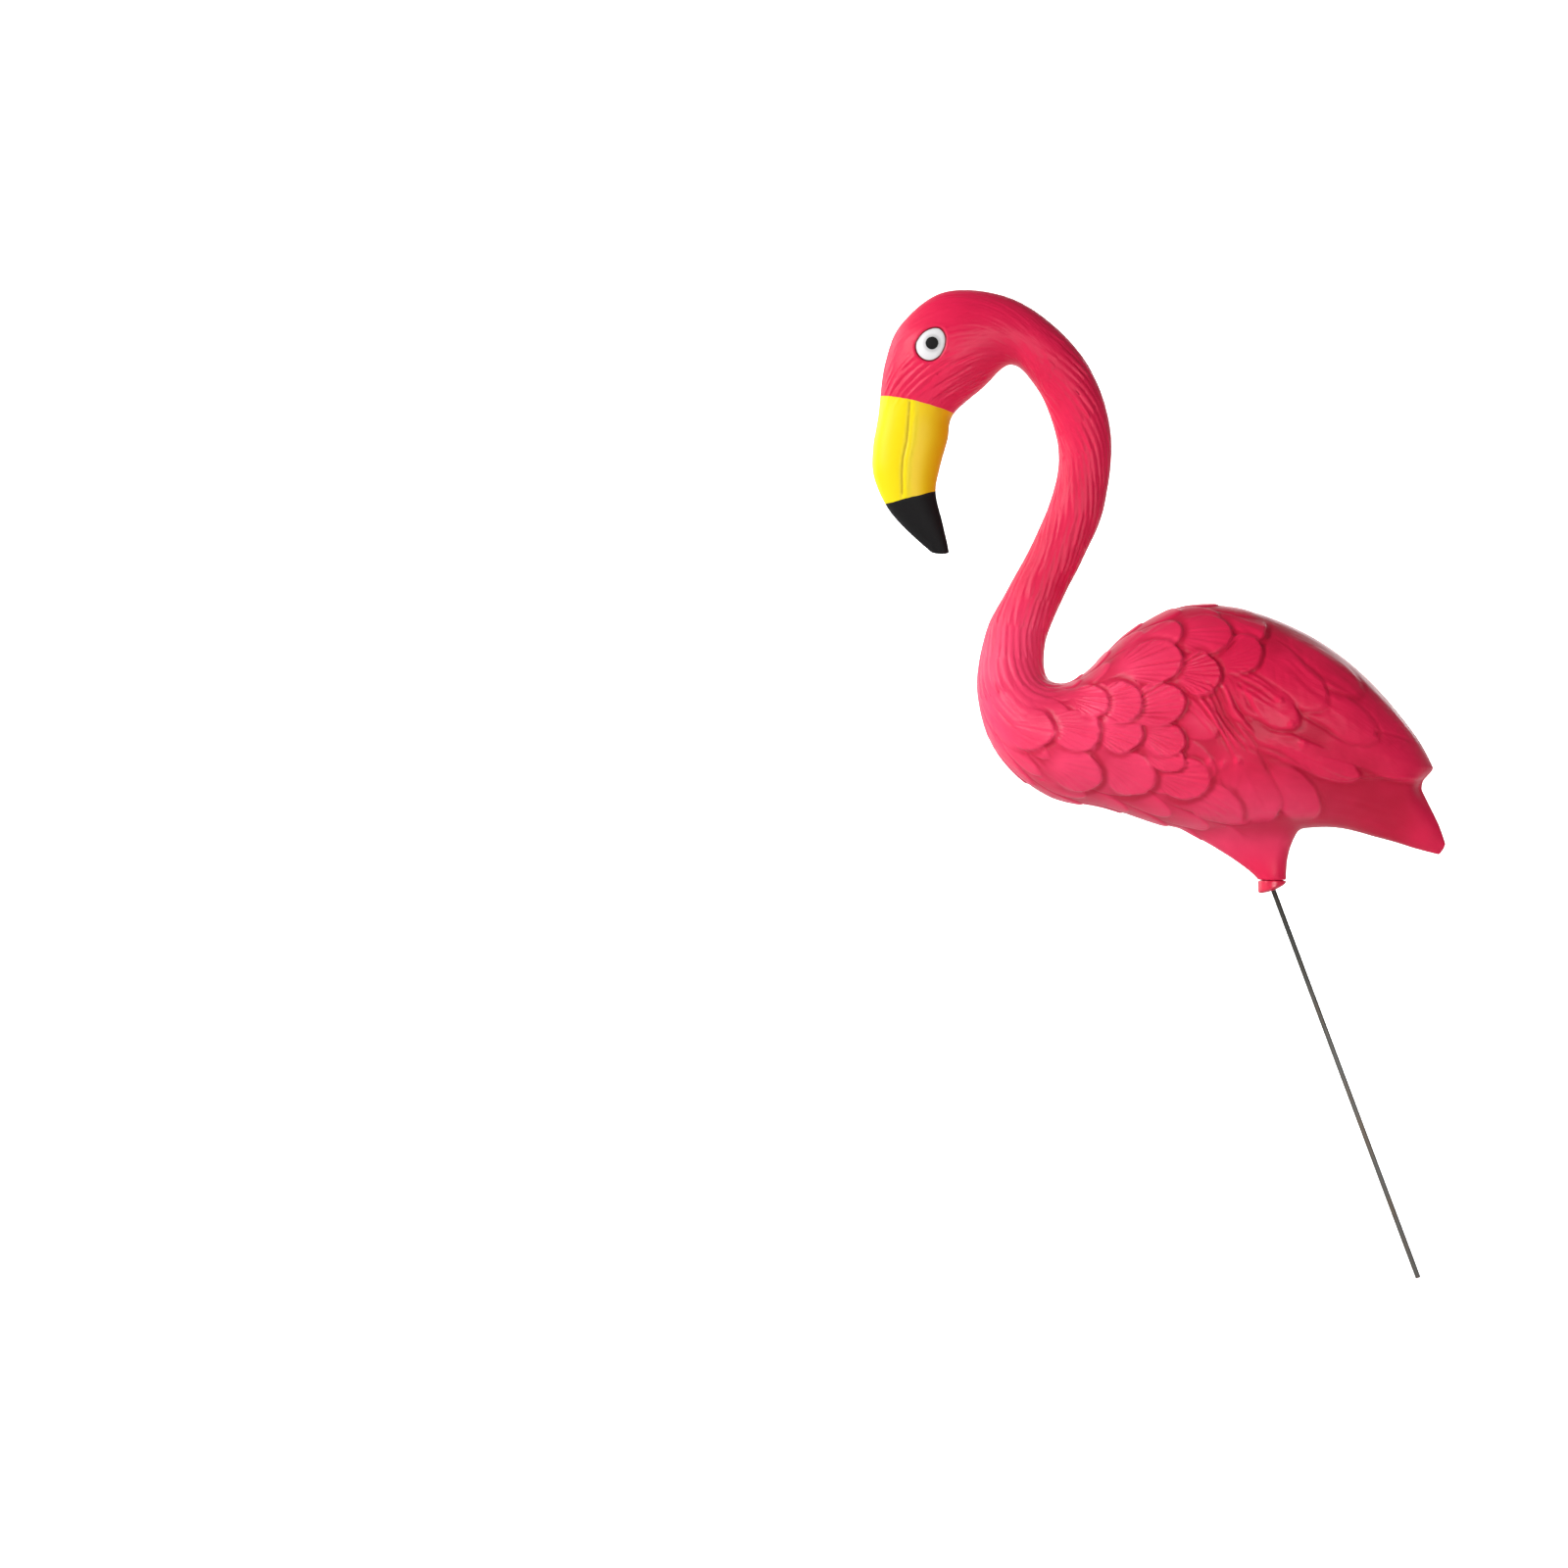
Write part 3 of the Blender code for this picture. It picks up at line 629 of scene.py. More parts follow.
def carving(settings, x, y, place, angle):
    """How far the carving stands out, in metres, and how deep in a groove each point lies."""
    run = run_along(place)
    relief = settings.feather_relief
    feathered = ramp(*BREAST_START, place)
    wing_edge = WING_EDGE_HEIGHT[0] + (WING_EDGE_HEIGHT[1] - WING_EDGE_HEIGHT[0]) * ramp(*WING_EDGE_SLOPE, x)
    on_wing = ramp(3.0, -3.0, y - wing_edge)
    below_wing = (1.0 - on_wing) * ramp(*WING_EDGE_START, x)
    thinning = 1.0 - ramp(*TAIL_THINS, x)
    carved = feathered * (feathers(x, y, run, angle) - FEATHER_LEVEL) * thinning
    height = relief * carved
    height = height - WING_STEP * relief * below_wing * thinning * ramp(*UNDERSIDE, angle)
    rim = hump(y, wing_edge - WING_RIM_ABOVE_EDGE, WING_RIM_WIDTH) * ramp(*WING_RIM, x) * thinning
    height = height + WING_RIM_RELIEF * relief * rim * ramp(1.3, 0.9, np.abs(angle))

    neck = ramp(*NECK_START, place) * (1.0 - ramp(*NECK_END, place))
    outline_fade = 1.0 - 0.8 * ramp(0.95, 1.4, np.abs(angle))
    patchy = 0.55 + 0.75 * noise(run / 34.0, angle * 1.3, 11)
    locks = strands(run, angle, NECK_LOCKS, LOCK_LENGTH, LOCK_LEAN, 3) - LOCK_LEVEL
    height = height + settings.strand_relief * locks * neck * outline_fade * patchy
    head = ramp(*HEAD_START, place) * (1.0 - ramp(*NECK_START, place))
    slanted = angle + CHEEK_SLANT * run
    fine = (noise(slanted * CHEEK_STROKES, run / 22.0, 5) - 0.5
            + 0.6 * (noise(slanted * FINE_CHEEK_STROKES, run / 13.0, 6) - 0.5))
    head = head * (0.35 + 0.65 * ramp(355, 375, y)) * (1.0 - ramp(0.9, 1.3, np.abs(angle)))
    height = height + CHEEK_RELIEF * settings.strand_relief * fine * head

    eye = eye_share(x, y)
    eye_line = hump(eye, *EYE_LINE)
    lid = hump(eye, *LID)
    height = height * ramp(1.1, 1.35, eye)
    height = height + settings.eye_dome * ramp(1.0, 0.2, eye) + LID_RELIEF * settings.eye_dome * lid
    height = height - settings.groove_depth * eye_line

    on_beak = ramp(*MOUTH_TOP, y) * ramp(*MOUTH_FOOT, y) * ramp(*BEAK_REAR, x)
    mouth = x - np.interp(y, MOUTH_LINE_HEIGHTS, MOUTH_LINE)
    lip = x - np.interp(y, MOUTH_LINE_HEIGHTS, LIP_LINE)
    mouth_groove = hump(mouth, 0.0, MOUTH_GROOVE_WIDTH)
    raised_lip = ramp(0.5, 3.0, mouth) * ramp(1.5, -1.5, lip)
    height = height + on_beak * settings.groove_depth * (LIP_RELIEF * raised_lip - mouth_groove)
    # This second result sets the painted shade: where the resin is painted darker in the grooves of feathers
    # and locks, round the eye and along the mouth
    hollow = np.clip(0.34 - 1.0 * carved, 0.0, 1.0) * feathered + eye_line + on_beak * mouth_groove
    hollow = hollow + neck * outline_fade * np.clip(-1.3 * locks - 0.1, 0.0, 1.0)
    return height, np.clip(hollow, 0.0, 1.0)


def below_line(border, x, y):
    """Pixels by which points lie below a border line in the photo, or above it where negative."""
    return y - np.interp(x, [point[0] for point in border], [point[1] for point in border])


def choose(thing):
    """Makes one object the only selected and active one."""
    bpy.ops.object.select_all(action="DESELECT")
    thing.select_set(True)
    bpy.context.view_layer.objects.active = thing


def apply_all(thing):
    choose(thing)
    for modifier in list(thing.modifiers):
        bpy.ops.object.modifier_apply(modifier=modifier.name)


def read_vectors(items, field="co"):
    values = np.empty(len(items) * 3)
    items.foreach_get(field, values)
    return values.reshape(-1, 3)


def move_vertices(mesh, positions):
    mesh.vertices.foreach_set("co", np.ascontiguousarray(positions, float).ravel())
    mesh.update()


def sphere_grid(name, rings, segments):
    """A unit sphere with each vertex's ring number from the top and its angle."""
    bpy.ops.mesh.primitive_uv_sphere_add(segments=segments, ring_count=rings, radius=1.0)
    thing = bpy.context.active_object
    thing.name = name
    points = read_vectors(thing.data.vertices)
    ring = np.round(np.arccos(np.clip(points[:, 2], -1.0, 1.0)) / math.pi * rings)
    return thing, ring, np.arctan2(points[:, 1], points[:, 0])


def smooth_bird():
    thing, ring, angle = sphere_grid("flamingo_bird", SKIN_RINGS, SKIN_SEGMENTS)
    move_vertices(thing.data, skin_points(ring, angle))
    return thing


def boss_shape():
    """The boss: a flat round end with a softened edge, flaring up into the belly."""
    thing, ring, turn = sphere_grid("boss", BOSS_RINGS, BOSS_SEGMENTS)
    radius = BOSS_DIAMETER / 2
    spread = np.sin(np.clip(ring / BOSS_END_RINGS, 0.0, 1.0) * math.pi / 2)
    rise = np.clip((ring - BOSS_END_RINGS) / (BOSS_RINGS - BOSS_END_RINGS - 1), 0.0, 1.0)
    closed = np.where(ring == BOSS_RINGS, 0.0, 1.0)
    forward = BOSS_FORWARD_FLARE * PIXEL * rise ** BOSS_FORWARD_CURVE
    rearward = BOSS_REARWARD_FLARE * PIXEL * rise ** BOSS_REARWARD_CURVE
    sideways = BOSS_SIDE_FLARE * PIXEL * rise ** BOSS_SIDE_CURVE
    reach_x = (radius + np.where(np.cos(turn) < 0, forward, rearward)) * spread * closed
    reach_y = (radius + sideways) * spread * closed
    soft_edge = BOSS_EDGE * (1.0 - np.sqrt(np.clip(1.0 - spread ** 8, 0.0, 1.0))) * (rise == 0)
    positions = np.stack((BOSS_END.x + np.cos(turn) * reach_x, np.sin(turn) * reach_y,
                          BOSS_END.z + soft_edge + BOSS_HEIGHT * PIXEL * rise), -1)
    move_vertices(thing.data, positions)
    return thing


def near_boss(x, y):
    """How much a point belongs to the blend between belly and boss."""
    return ramp(*BOSS_BLEND_FRONT, x) * (1.0 - ramp(*BOSS_BLEND_REAR, x)) * ramp(*BOSS_BLEND_TOP, y)


def face_outwards(thing):
    choose(thing)
    bpy.ops.object.mode_set(mode="EDIT")
    bpy.ops.mesh.select_all(action="SELECT")
    bpy.ops.mesh.normals_make_consistent(inside=False)
    bpy.ops.object.mode_set(mode="OBJECT")


def put_attribute(mesh, name, values):
    """Stores one number, or a row of three, for each vertex."""
    kind, field = ("FLOAT", "value") if values.ndim == 1 else ("FLOAT_VECTOR", "vector")
    layer = mesh.attributes.new(name, kind, "POINT")
    layer.data.foreach_set(field, np.ascontiguousarray(values, np.float32).ravel())


def joined_bird(skin):
    """Bird and boss as one fine, even mesh: exact on the bird, blended round the boss."""
    bird = smooth_bird()
    boss = boss_shape()
    choose(bird)
    boss.select_set(True)
    bpy.ops.object.join()
    face_outwards(bird)
    remesh = bird.modifiers.new("Even", "REMESH")
    remesh.mode = "VOXEL"
    remesh.voxel_size = VOXEL
    apply_all(bird)
    points = read_vectors(bird.data.vertices)
    x, y = photo_xy(points)
    row, angle = skin.locate(points)
    exact = skin_points(row, angle)
    blend = near_boss(x, y)[:, None]
    move_vertices(bird.data, points * blend + exact * (1 - blend))
    group = bird.vertex_groups.new(name="blend")
    tips = 0.5 * ramp(*TAIL_TIP, x) + 0.3 * ramp(*BEAK_TIP_TOP, y) * ramp(*BEAK_TIP_REAR, x)
    weight = blend[:, 0] * ramp(*BOSS_KEPT_END, y) + tips
    for index in np.nonzero(weight > 0.01)[0]:
        group.add([int(index)], float(weight[index]), "REPLACE")
    soften = bird.modifiers.new("Soften", "SMOOTH")
    soften.factor = 0.5
    soften.iterations = SOFTEN_ITERATIONS
    soften.vertex_group = group.name
    apply_all(bird)
    return bird


def read_skin(skin, mesh):
    """Each vertex's place in the world, photo x and y, place along the bird and angle up its side."""
    points = read_vectors(mesh.vertices)
    row, angle = skin.locate(points)
    place, _ = skin_rows(row)
    x, y = photo_xy(points)
    return points, x, y, place, np.arcsin(np.clip(np.sin(angle), -1.0, 1.0))


def off_boss(x, y):
    """How much of the carving is left: all of it but on the smooth boss."""
    return 1.0 - near_boss(x, y) * ramp(*BOSS_SMOOTH, y)


def carve_bird(settings):
    """Builds the bird in the CAD part's frame and carves its feathers, strands, eyes and mouth."""
    skin = SkinMap()
    bird = joined_bird(skin)
    mesh = bird.data
    points, x, y, place, side_angle = read_skin(skin, mesh)
    normals = read_vectors(mesh.vertex_normals, "vector")
    height, _ = carving(settings, x, y, place, side_angle)
    height = height * off_boss(x, y)
    move_vertices(mesh, points + normals * height[:, None])
    thin = bird.modifiers.new("Thin", "DECIMATE")
    thin.ratio = min(1.0, BIRD_TRIANGLES / (2 * len(mesh.polygons)))
    apply_all(bird)
    bird.vertex_groups.clear()
    face_outwards(bird)
    bpy.ops.object.shade_smooth()

    mesh = bird.data
    points, x, y, place, side_angle = read_skin(skin, mesh)
    # The groove depth is kept for the material's painted shade
    _, hollow = carving(settings, x, y, place, side_angle)
    hollow = hollow * off_boss(x, y)
    flow = np.stack((run_along(place), side_angle * 40, np.sign(points[:, 1])), -1)
    beyond_beak = BEYOND_BEAK * ramp(985, 1000, x)
    lip = x - np.interp(y, MOUTH_LINE_HEIGHTS, LIP_LINE)
    mouth = np.abs(x - np.interp(y, MOUTH_LINE_HEIGHTS, MOUTH_LINE))
    off_line = MOUTH_LINE_FADE * (ramp(412, 404, y) + ramp(504, 514, y))
    painted = {
        "hollow": hollow,
        "flow": flow,
        "yellow": below_line(YELLOW_BORDER, x, y) - beyond_beak,
        "black": below_line(BLACK_BORDER, x, y) - beyond_beak,
        "eye": (1.0 - eye_share(x, y)) * EYE_PIXELS,
        "pupil": PUPIL_RADIUS - np.hypot(x - PUPIL_CENTRE[0], y - PUPIL_CENTRE[1]),
        "amber": 0.35 * ramp(-2, 6, lip) + 0.65 * ramp(6, 34, lip),
        "mouth": mouth + off_line,
    }
    for name, values in painted.items():
        put_attribute(mesh, name, values)
    return bird


class NodeSheet:
    """Adds and links a material's or group's nodes."""

    def __init__(self, tree):
        self.tree = tree

    def add(self, kind, **inputs):
        node = self.tree.nodes.new(kind)
        for name, value in inputs.items():
            setattr(node, name, value)
        return node

    def link(self, source, target):
        self.tree.links.new(source, target)

    def feed(self, value, socket):
        """Sets a socket to a constant, or links an output to it."""
        if isinstance(value, bpy.types.NodeSocket):
            self.link(value, socket)
        else:
            socket.default_value = value

    def math(self, operation, first, second=0.0, third=0.0):
        node = self.add("ShaderNodeMath", operation=operation)
        for value, socket in zip((first, second, third), node.inputs):
            self.feed(value, socket)
        return node.outputs[0]

    def attribute(self, name, output="Fac"):
        return self.add("ShaderNodeAttribute", attribute_name=name).outputs[output]

    def step(self, value, low, high):
        """A smooth step of a value from 0 at low to 1 at high."""
        node = self.add("ShaderNodeMapRange", interpolation_type="SMOOTHSTEP")
        for source, name in ((value, "Value"), (low, "From Min"), (high, "From Max")):
            self.feed(source, node.inputs[name])
        return node.outputs["Result"]

    def noise(self, vector, scale, detail=2.0, roughness=0.5):
        node = self.add("ShaderNodeTexNoise")
        self.feed(vector, node.inputs["Vector"])
        self.feed(scale, node.inputs["Scale"])
        node.inputs["Detail"].default_value = detail
        node.inputs["Roughness"].default_value = roughness
        return node.outputs["Fac"]

    def mix(self, share, first, second):
        """Mixes two colours, each an output or a setting's red, green and blue."""
        node = self.add("ShaderNodeMix", data_type="RGBA")
        self.feed(share, node.inputs[0])
        for colour, socket in zip((first, second), node.inputs[6:8]):
            self.feed(colour if isinstance(colour, bpy.types.NodeSocket) else opaque(colour), socket)
        return node.outputs[2]

    def stretched(self, vector, scale):
        node = self.add("ShaderNodeVectorMath", operation="MULTIPLY")
        self.feed(vector, node.inputs[0])
        node.inputs[1].default_value = scale
        return node.outputs[0]

    def bump(self, height, strength, distance, normal=None):
        node = self.add("ShaderNodeBump")
        self.feed(strength, node.inputs["Strength"])
        node.inputs["Distance"].default_value = distance
        self.feed(height, node.inputs["Height"])
        if normal is not None:
            self.link(normal, node.inputs["Normal"])
        return node.outputs["Normal"]


def opaque(colour):
    return (*colour, 1.0)


def darkened(colour, share):
    return tuple(share * part for part in colour)


def dress(sheet, shader, colour, roughness, normal):
    for value, name in ((colour, "Base Color"), (roughness, "Roughness"), (normal, "Normal")):
        sheet.link(value, shader.inputs[name])


def new_material(name):
    surface = bpy.data.materials.new(name)
    surface.use_nodes = True
    return surface, NodeSheet(surface.node_tree), surface.node_tree.nodes["Principled BSDF"]


def grain_group():
    """A fine grain over a surface: its uneven roughness and its small bumps."""
    group = bpy.data.node_groups.new("surface grain", "ShaderNodeTree")
    sides = (("INPUT", ("Place", "Scale", "Smoothest", "Spread", "Bump")),
             ("OUTPUT", ("Roughness", "Normal")))
    for side, names in sides:
        for name in names:
            kind = "NodeSocketVector" if name in ("Place", "Normal") else "NodeSocketFloat"
            group.interface.new_socket(name, in_out=side, socket_type=kind)
    sheet = NodeSheet(group)
    given = sheet.add("NodeGroupInput").outputs
    result = sheet.add("NodeGroupOutput").inputs
    grain = sheet.noise(given["Place"], given["Scale"], 3.0, 0.6)
    sheet.link(sheet.math("MULTIPLY_ADD", grain, given["Spread"], given["Smoothest"]), result["Roughness"])
    sheet.link(sheet.bump(grain, given["Bump"], 0.0002), result["Normal"])
    return group


def add_grain(sheet, place, scale, smoothest, spread, bump):
    """Places the shared grain in a material and returns its roughness and normal."""
    group = bpy.data.node_groups.get("surface grain") or grain_group()
    node = sheet.add("ShaderNodeGroup", node_tree=group)
    for value, socket in zip((place, scale, smoothest, spread, bump), node.inputs):
        sheet.feed(value, socket)
    return node.outputs["Roughness"], node.outputs["Normal"]


def resin_material(settings):
    surface, sheet, shader = new_material("painted resin")
    place = sheet.add("ShaderNodeTexCoord").outputs["Object"]
    flow = sheet.attribute("flow", "Vector")
    hollow = sheet.attribute("hollow")
    mottle = sheet.noise(place, 38.0, 3.0)
    hair = sheet.noise(sheet.stretched(flow, HAIR_STRETCH), 1.0, 3.0, 0.55)

    # Painted light: breast and belly, above the boss, are painted a lighter pink
    position = sheet.add("ShaderNodeSeparateXYZ")
    sheet.link(place, position.inputs[0])
    forward, _, up = position.outputs
    breast, belly = (sheet.math("MULTIPLY", sheet.step(forward, *x), sheet.step(up, *z))
                     for x, z in ((BREAST_X, BREAST_Z), (BELLY_X, BELLY_Z)))
    above_boss = sheet.math("MULTIPLY", sheet.step(up, *ABOVE_BOSS_Z), PAINTED_LIGHT_SHARE)
    painted_light_share = sheet.math("MULTIPLY", sheet.math("MAXIMUM", breast, belly), above_boss)
    pink = sheet.mix(painted_light_share, settings.pink, settings.painted_light_pink)
    # Painted shade: the grooves are painted deep pink
    painted_groove_shade = sheet.math("MULTIPLY", sheet.step(hollow, 0.15, 1.0), GROOVE_SHADE_SHARE)
    pink = sheet.mix(painted_groove_shade, pink, settings.deep_pink)
    shade = sheet.math("MULTIPLY", sheet.step(mottle, 0.35, 0.75), MOTTLE_SHARE)
    pink = sheet.mix(shade, pink, settings.deep_pink)

    uneven = sheet.math("SUBTRACT", sheet.noise(place, 110.0, 2.0), 0.5)
    wobble = sheet.math("MULTIPLY", uneven, BORDER_WOBBLE)
    yellow_line = sheet.math("ADD", sheet.attribute("yellow"), wobble)
    black_line = sheet.math("ADD", sheet.attribute("black"), wobble)
    on_yellow = sheet.step(yellow_line, -BORDER_SOFTNESS, BORDER_SOFTNESS)
    on_black = sheet.step(black_line, -BORDER_SOFTNESS, BORDER_SOFTNESS)
    # Towards the throat the beak turns amber: partly the paint's own tone, partly painted shade
    beak = sheet.mix(sheet.attribute("amber"), settings.yellow, settings.amber)
    # Painted shade: the beak is painted darker along the mouth's groove
    mouth = sheet.math("MULTIPLY", sheet.step(sheet.attribute("mouth"), 1.7, 0.2), 0.5)
    beak = sheet.mix(mouth, beak, darkened(settings.amber, 0.32))
    colour = sheet.mix(on_yellow, pink, beak)
    colour = sheet.mix(on_black, colour, settings.black)
    eye = sheet.attribute("eye")
    outline = sheet.math("MULTIPLY", sheet.step(eye, -2.6, -0.6), 0.9)
    colour = sheet.mix(outline, colour, darkened(settings.deep_pink, 0.16))
    colour = sheet.mix(sheet.step(eye, -0.4, 0.3), colour, settings.white)
    pupil = sheet.attribute("pupil")
    # A grey ring round the pupil, greyer towards it
    grey_ring = sheet.math("MULTIPLY", sheet.step(pupil, -4.5, -0.5), 0.45)
    colour = sheet.mix(grey_ring, colour, darkened(settings.white, 0.35))
    on_pupil = sheet.step(pupil, -0.4, 0.4)
    colour = sheet.mix(on_pupil, colour, settings.black)
    shader.inputs["Specular IOR Level"].default_value = RESIN_SPECULAR

    rough, fine = add_grain(sheet, place, 900.0, 0.35, 0.10, 0.12)
    dark = sheet.math("MAXIMUM", on_black, on_pupil)
    rough = sheet.math("MULTIPLY_ADD", dark, BLACK_DULLNESS, rough)
    feathered = sheet.math("SUBTRACT", 1.0, sheet.math("MAXIMUM", on_yellow, sheet.step(eye, -2.0, 0.0)))
    hair = sheet.math("MULTIPLY", hair, feathered)
    dress(sheet, shader, colour, rough, sheet.bump(hair, 0.30, 0.0005, fine))
    return surface


def collar_material(settings):
    surface, sheet, shader = new_material("collar plastic")
    place = sheet.add("ShaderNodeTexCoord").outputs["Object"]
    rough, normal = add_grain(sheet, place, 700.0, 0.26, 0.12, 0.15)
    worn = sheet.math("MULTIPLY", sheet.step(sheet.noise(place, 260.0, 2.0), 0.45, 0.7), 0.35)
    colour = sheet.mix(worn, settings.collar_pink, darkened(settings.collar_pink, 0.45))
    dress(sheet, shader, colour, rough, normal)
    return surface


def steel_material(settings):
    surface, sheet, shader = new_material("steel wire")
    place = sheet.add("ShaderNodeTexCoord").outputs["Object"]
    height = sheet.add("ShaderNodeSeparateXYZ")
    sheet.link(place, height.inputs[0])
    rough, normal = add_grain(sheet, sheet.stretched(place, DRAWN_STRETCH), 1.0, 0.40, 0.18, 0.15)
    blotch = sheet.noise(place, 45.0, 3.0)
    # Painted shade: the wire is painted darker towards the collar, under the bird
    shade_near_collar = sheet.step(height.outputs["Z"], 0.10, 0.235)
    warm = (settings.steel[0] * 1.15, settings.steel[1] * 0.95, settings.steel[2] * 0.8)
    colour = sheet.mix(sheet.step(blotch, 0.45, 0.7), settings.steel, warm)
    shade_near_collar = sheet.math("MULTIPLY", shade_near_collar, 0.85)
    colour = sheet.mix(shade_near_collar, colour, darkened(settings.steel, 0.22))
    shader.inputs["Metallic"].default_value = 0.85
    dress(sheet, shader, colour, rough, normal)
    return surface


def on_rod_axis(name, radius, bottom, top, segments):
    """A cylinder on the rod's axis, between two distances from the rod's lower end."""
    bpy.ops.mesh.primitive_cylinder_add(vertices=segments, radius=radius, depth=top - bottom,
                                        location=ROD_AXIS * (top + bottom) / 2,
                                        rotation=(0.0, -ROD_LEAN, 0.0))
    thing = bpy.context.active_object
    thing.name = name
    bpy.ops.object.transform_apply(location=True, rotation=True, scale=True)
    return thing


def shade_by_angle(thing):
    choose(thing)
    bpy.ops.object.shade_smooth_by_angle(angle=math.radians(35))


def rod_piece(settings):
    """The wire, its ends' edges just broken."""
    top = ROD_VISIBLE_LENGTH + COLLAR_DOME + ROD_SOCKET_DEPTH
    rod = on_rod_axis("stake_rod", ROD_DIAMETER / 2, 0.0, top, ROD_SEGMENTS)
    bevel = rod.modifiers.new("Ends", "BEVEL")
    bevel.width = settings.end_bevel
    bevel.segments = 2
    bevel.angle_limit = math.radians(60)
    apply_all(rod)
    face_outwards(rod)
    shade_by_angle(rod)
    return rod


def collar_piece(settings):
    """Level on top against the boss, domed below square to the rod, and bored for it."""
    collar, ring, turn = sphere_grid("stake_collar", COLLAR_RINGS, COLLAR_SEGMENTS)
    share = ring / COLLAR_RINGS
    edge, radius, top = settings.collar_edge, COLLAR_DIAMETER / 2, COLLAR_HEIGHT - FIT_GAP
    corner = np.clip((share - 0.2) / 0.1, 0.0, 1.0) * math.pi / 2
    spread = np.where(share < 0.2, share / 0.2 * (radius - edge), radius - edge + edge * np.sin(corner))
    x, y = np.cos(turn) * spread, np.sin(turn) * spread
    foot = x * math.tan(ROD_LEAN)
    down = np.clip((share - 0.3) / 0.1, 0.0, 1.0)
    spigot = np.where(spread < 0.8 * radius, 0.9 * FIT_GAP, 0.0) * (share < 0.2)
    z = (top + spigot - edge * (1.0 - np.cos(corner))) * (1.0 - down) + foot * down
    bulge = np.clip((share - 0.4) / 0.6, 0.0, 1.0) * math.pi / 2
    points = np.stack((x, y, z), -1) * np.where(share > 0.4, np.cos(bulge), 1.0)[:, None]
    points = points - np.array(ROD_AXIS) * (COLLAR_DOME * np.sin(bulge))[:, None]
    move_vertices(collar.data, points + np.array(DOME_FOOT))
    face_outwards(collar)
    bore = on_rod_axis("bore", ROD_DIAMETER / 2 + FIT_GAP, ROD_VISIBLE_LENGTH - COLLAR_DIAMETER,
                       ROD_VISIBLE_LENGTH + COLLAR_DIAMETER, ROD_SEGMENTS)
    cut = collar.modifiers.new("Bore", "BOOLEAN")
    cut.operation = "DIFFERENCE"
    cut.solver = "EXACT"
    cut.object = bore
    apply_all(collar)
    bpy.data.objects.remove(bore, do_unlink=True)
    face_outwards(collar)
    shade_by_angle(collar)
    return collar


def finish_piece(thing, node, surface):
    """Takes its place in the frame: surface, slot, body and the CAD node it stands for."""
    thing.data.materials.clear()
    thing.data.materials.append(surface)
    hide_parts(node)
    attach(thing, "root")


class FLAMINGO_OT_bird(bpy.types.Operator):
    """Build the carved and painted bird"""
    bl_idname = "flamingo.bird"
    bl_label = "Bird"

    def execute(self, context):
        settings = context.scene.flamingo_bird
        bird = carve_bird(settings)
        finish_piece(bird, "flamingo_casting", resin_material(settings))
        return {"FINISHED"}


class FLAMINGO_OT_stake(bpy.types.Operator):
    """Build the collar and the steel rod"""
    bl_idname = "flamingo.stake"
    bl_label = "Collar and rod"

    def execute(self, context):
        settings = context.scene.flamingo_stake
        finish_piece(collar_piece(settings), "rod_collar", collar_material(settings))
        finish_piece(rod_piece(settings), "steel_rod", steel_material(settings))
        return {"FINISHED"}


class FLAMINGO_OT_studio(bpy.types.Operator):
    """Build the floor, the lights and the camera"""
    bl_idname = "flamingo.studio"
    bl_label = "Studio"

    def execute(self, context):
        settings = context.scene.flamingo_studio
        make_sweep(settings)
        make_lights()
        make_camera(settings)
        return {"FINISHED"}


def make_sweep(settings):
    """A floor that curves up into the backdrop without an edge."""
    bpy.ops.mesh.primitive_grid_add(x_subdivisions=2, y_subdivisions=60, size=1.0)
    sweep = bpy.context.active_object
    sweep.name = "sweep"
    points = read_vectors(sweep.data.vertices)
    x = points[:, 0] * SWEEP_WIDTH + SWEEP_MIDDLE
    along = (points[:, 1] + 0.5) * SWEEP_LENGTH
    turn = np.clip((along - SWEEP_LEVEL) / SWEEP_BEND, 0.0, math.pi / 2)
    beyond = np.maximum(along - SWEEP_LEVEL - SWEEP_BEND * math.pi / 2, 0.0)
    y = np.minimum(along, SWEEP_LEVEL) + SWEEP_BEND * np.sin(turn) + SWEEP_FRONT
    z = SWEEP_BEND * (1 - np.cos(turn)) + beyond
    move_vertices(sweep.data, np.stack((x, y, z - SWEEP_GAP), -1))
    choose(sweep)
    bpy.ops.object.shade_smooth()
    surface, sheet, shader = new_material("studio floor")
    shader.inputs["Base Color"].default_value = opaque(settings.floor_colour)
    shader.inputs["Roughness"].default_value = 0.9
    shader.inputs["Emission Color"].default_value = (1.0, 1.0, 1.0, 1.0)
    seen = sheet.add("ShaderNodeLightPath").outputs["Is Camera Ray"]
    sheet.link(sheet.math("MULTIPLY", seen, FLOOR_GLOW), shader.inputs["Emission Strength"])
    underside = sheet.add("ShaderNodeNewGeometry").outputs["Backfacing"]
    clear, one_sided = sheet.add("ShaderNodeBsdfTransparent"), sheet.add("ShaderNodeMixShader")
    sheet.link(underside, one_sided.inputs[0])
    sheet.link(shader.outputs[0], one_sided.inputs[1])
    sheet.link(clear.outputs[0], one_sided.inputs[2])
    sheet.link(one_sided.outputs[0], surface.node_tree.nodes["Material Output"].inputs["Surface"])
    sweep.data.materials.append(surface)


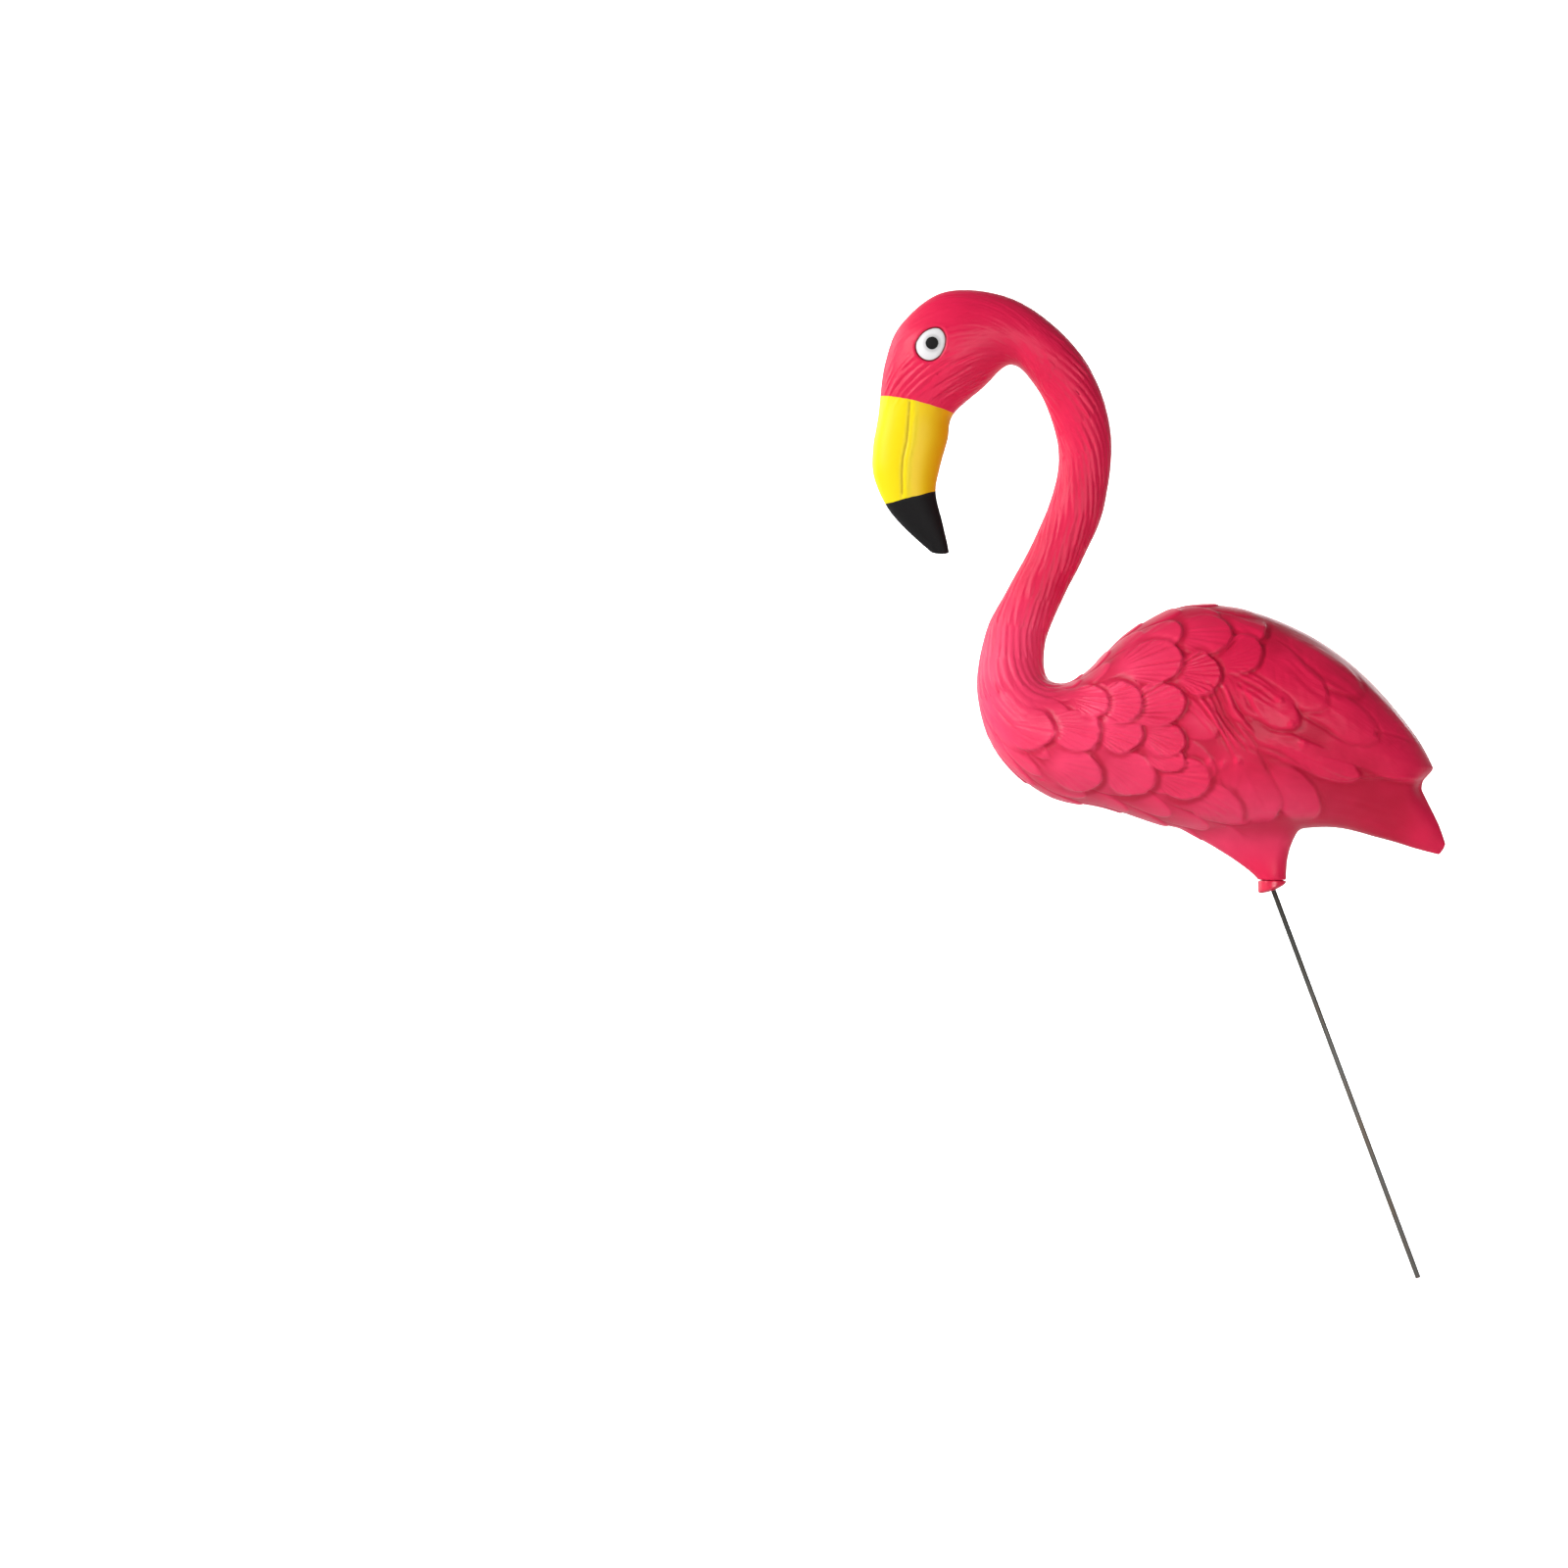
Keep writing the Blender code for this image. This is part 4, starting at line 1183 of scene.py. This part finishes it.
def add_light(name, place, target, size, power, spread):
    light = bpy.data.lights.new(name, "AREA")
    light.shape = "RECTANGLE"
    light.size, light.size_y = size
    light.energy = power
    light.spread = math.radians(spread)
    lamp = bpy.data.objects.new(name, light)
    bpy.context.scene.collection.objects.link(lamp)
    lamp.location = place
    lamp.rotation_euler = (Vector(target) - Vector(place)).to_track_quat("-Z", "Y").to_euler()


def make_lights():
    for lamp in LAMPS:
        add_light(*lamp)
    world = bpy.data.worlds.new("studio")
    world.use_nodes = True
    background = world.node_tree.nodes["Background"]
    background.inputs["Color"].default_value = (1.0, 1.0, 1.0, 1.0)
    sheet = NodeSheet(world.node_tree)
    seen = sheet.add("ShaderNodeLightPath").outputs["Is Camera Ray"]
    strength = sheet.math("MULTIPLY_ADD", seen, 1.0 - WORLD_LIGHT, WORLD_LIGHT)
    sheet.link(strength, background.inputs["Strength"])
    bpy.context.scene.world = world


def make_camera(settings):
    data = bpy.data.cameras.new("camera")
    data.sensor_width = 36.0
    data.lens = data.sensor_width * settings.camera_distance / settings.view_width
    camera = bpy.data.objects.new("camera", data)
    bpy.context.scene.collection.objects.link(camera)
    camera.location = (BOSS_END.x + (800 - PHOTO_BOSS_END[0]) * PIXEL, -settings.camera_distance,
                       BOSS_END.z + (PHOTO_BOSS_END[1] - 800) * PIXEL)
    camera.rotation_euler = (math.pi / 2, 0.0, 0.0)
    bpy.context.scene.camera = camera
    bpy.context.scene.view_settings.view_transform = "Standard"


class FLAMINGO_PT_panel(bpy.types.Panel):
    bl_idname = "FLAMINGO_PT_panel"
    bl_label = "Flamingo"
    bl_space_type = "VIEW_3D"
    bl_region_type = "UI"
    bl_category = "Flamingo"

    def draw(self, context):
        scene = context.scene
        for operator, settings in ((FLAMINGO_OT_bird, scene.flamingo_bird),
                                   (FLAMINGO_OT_stake, scene.flamingo_stake),
                                   (FLAMINGO_OT_studio, scene.flamingo_studio)):
            box = self.layout.box()
            box.operator(operator.bl_idname)
            for name in settings.__annotations__:
                box.prop(settings, name)


CLASSES = (BirdSettings, StakeSettings, StudioSettings, FLAMINGO_OT_bird, FLAMINGO_OT_stake,
           FLAMINGO_OT_studio, FLAMINGO_PT_panel)
SETTINGS = (("flamingo_bird", BirdSettings), ("flamingo_stake", StakeSettings),
            ("flamingo_studio", StudioSettings))


def register():
    for kind in CLASSES:
        bpy.utils.register_class(kind)
    for name, kind in SETTINGS:
        setattr(bpy.types.Scene, name, bpy.props.PointerProperty(type=kind))


def unregister():
    for name, _ in reversed(SETTINGS):
        delattr(bpy.types.Scene, name)
    for kind in reversed(CLASSES):
        bpy.utils.unregister_class(kind)


def main():
    register()
    bpy.ops.flamingo.bird()
    bpy.ops.flamingo.stake()
    bpy.ops.flamingo.studio()


if __name__ == "__main__":
    main()
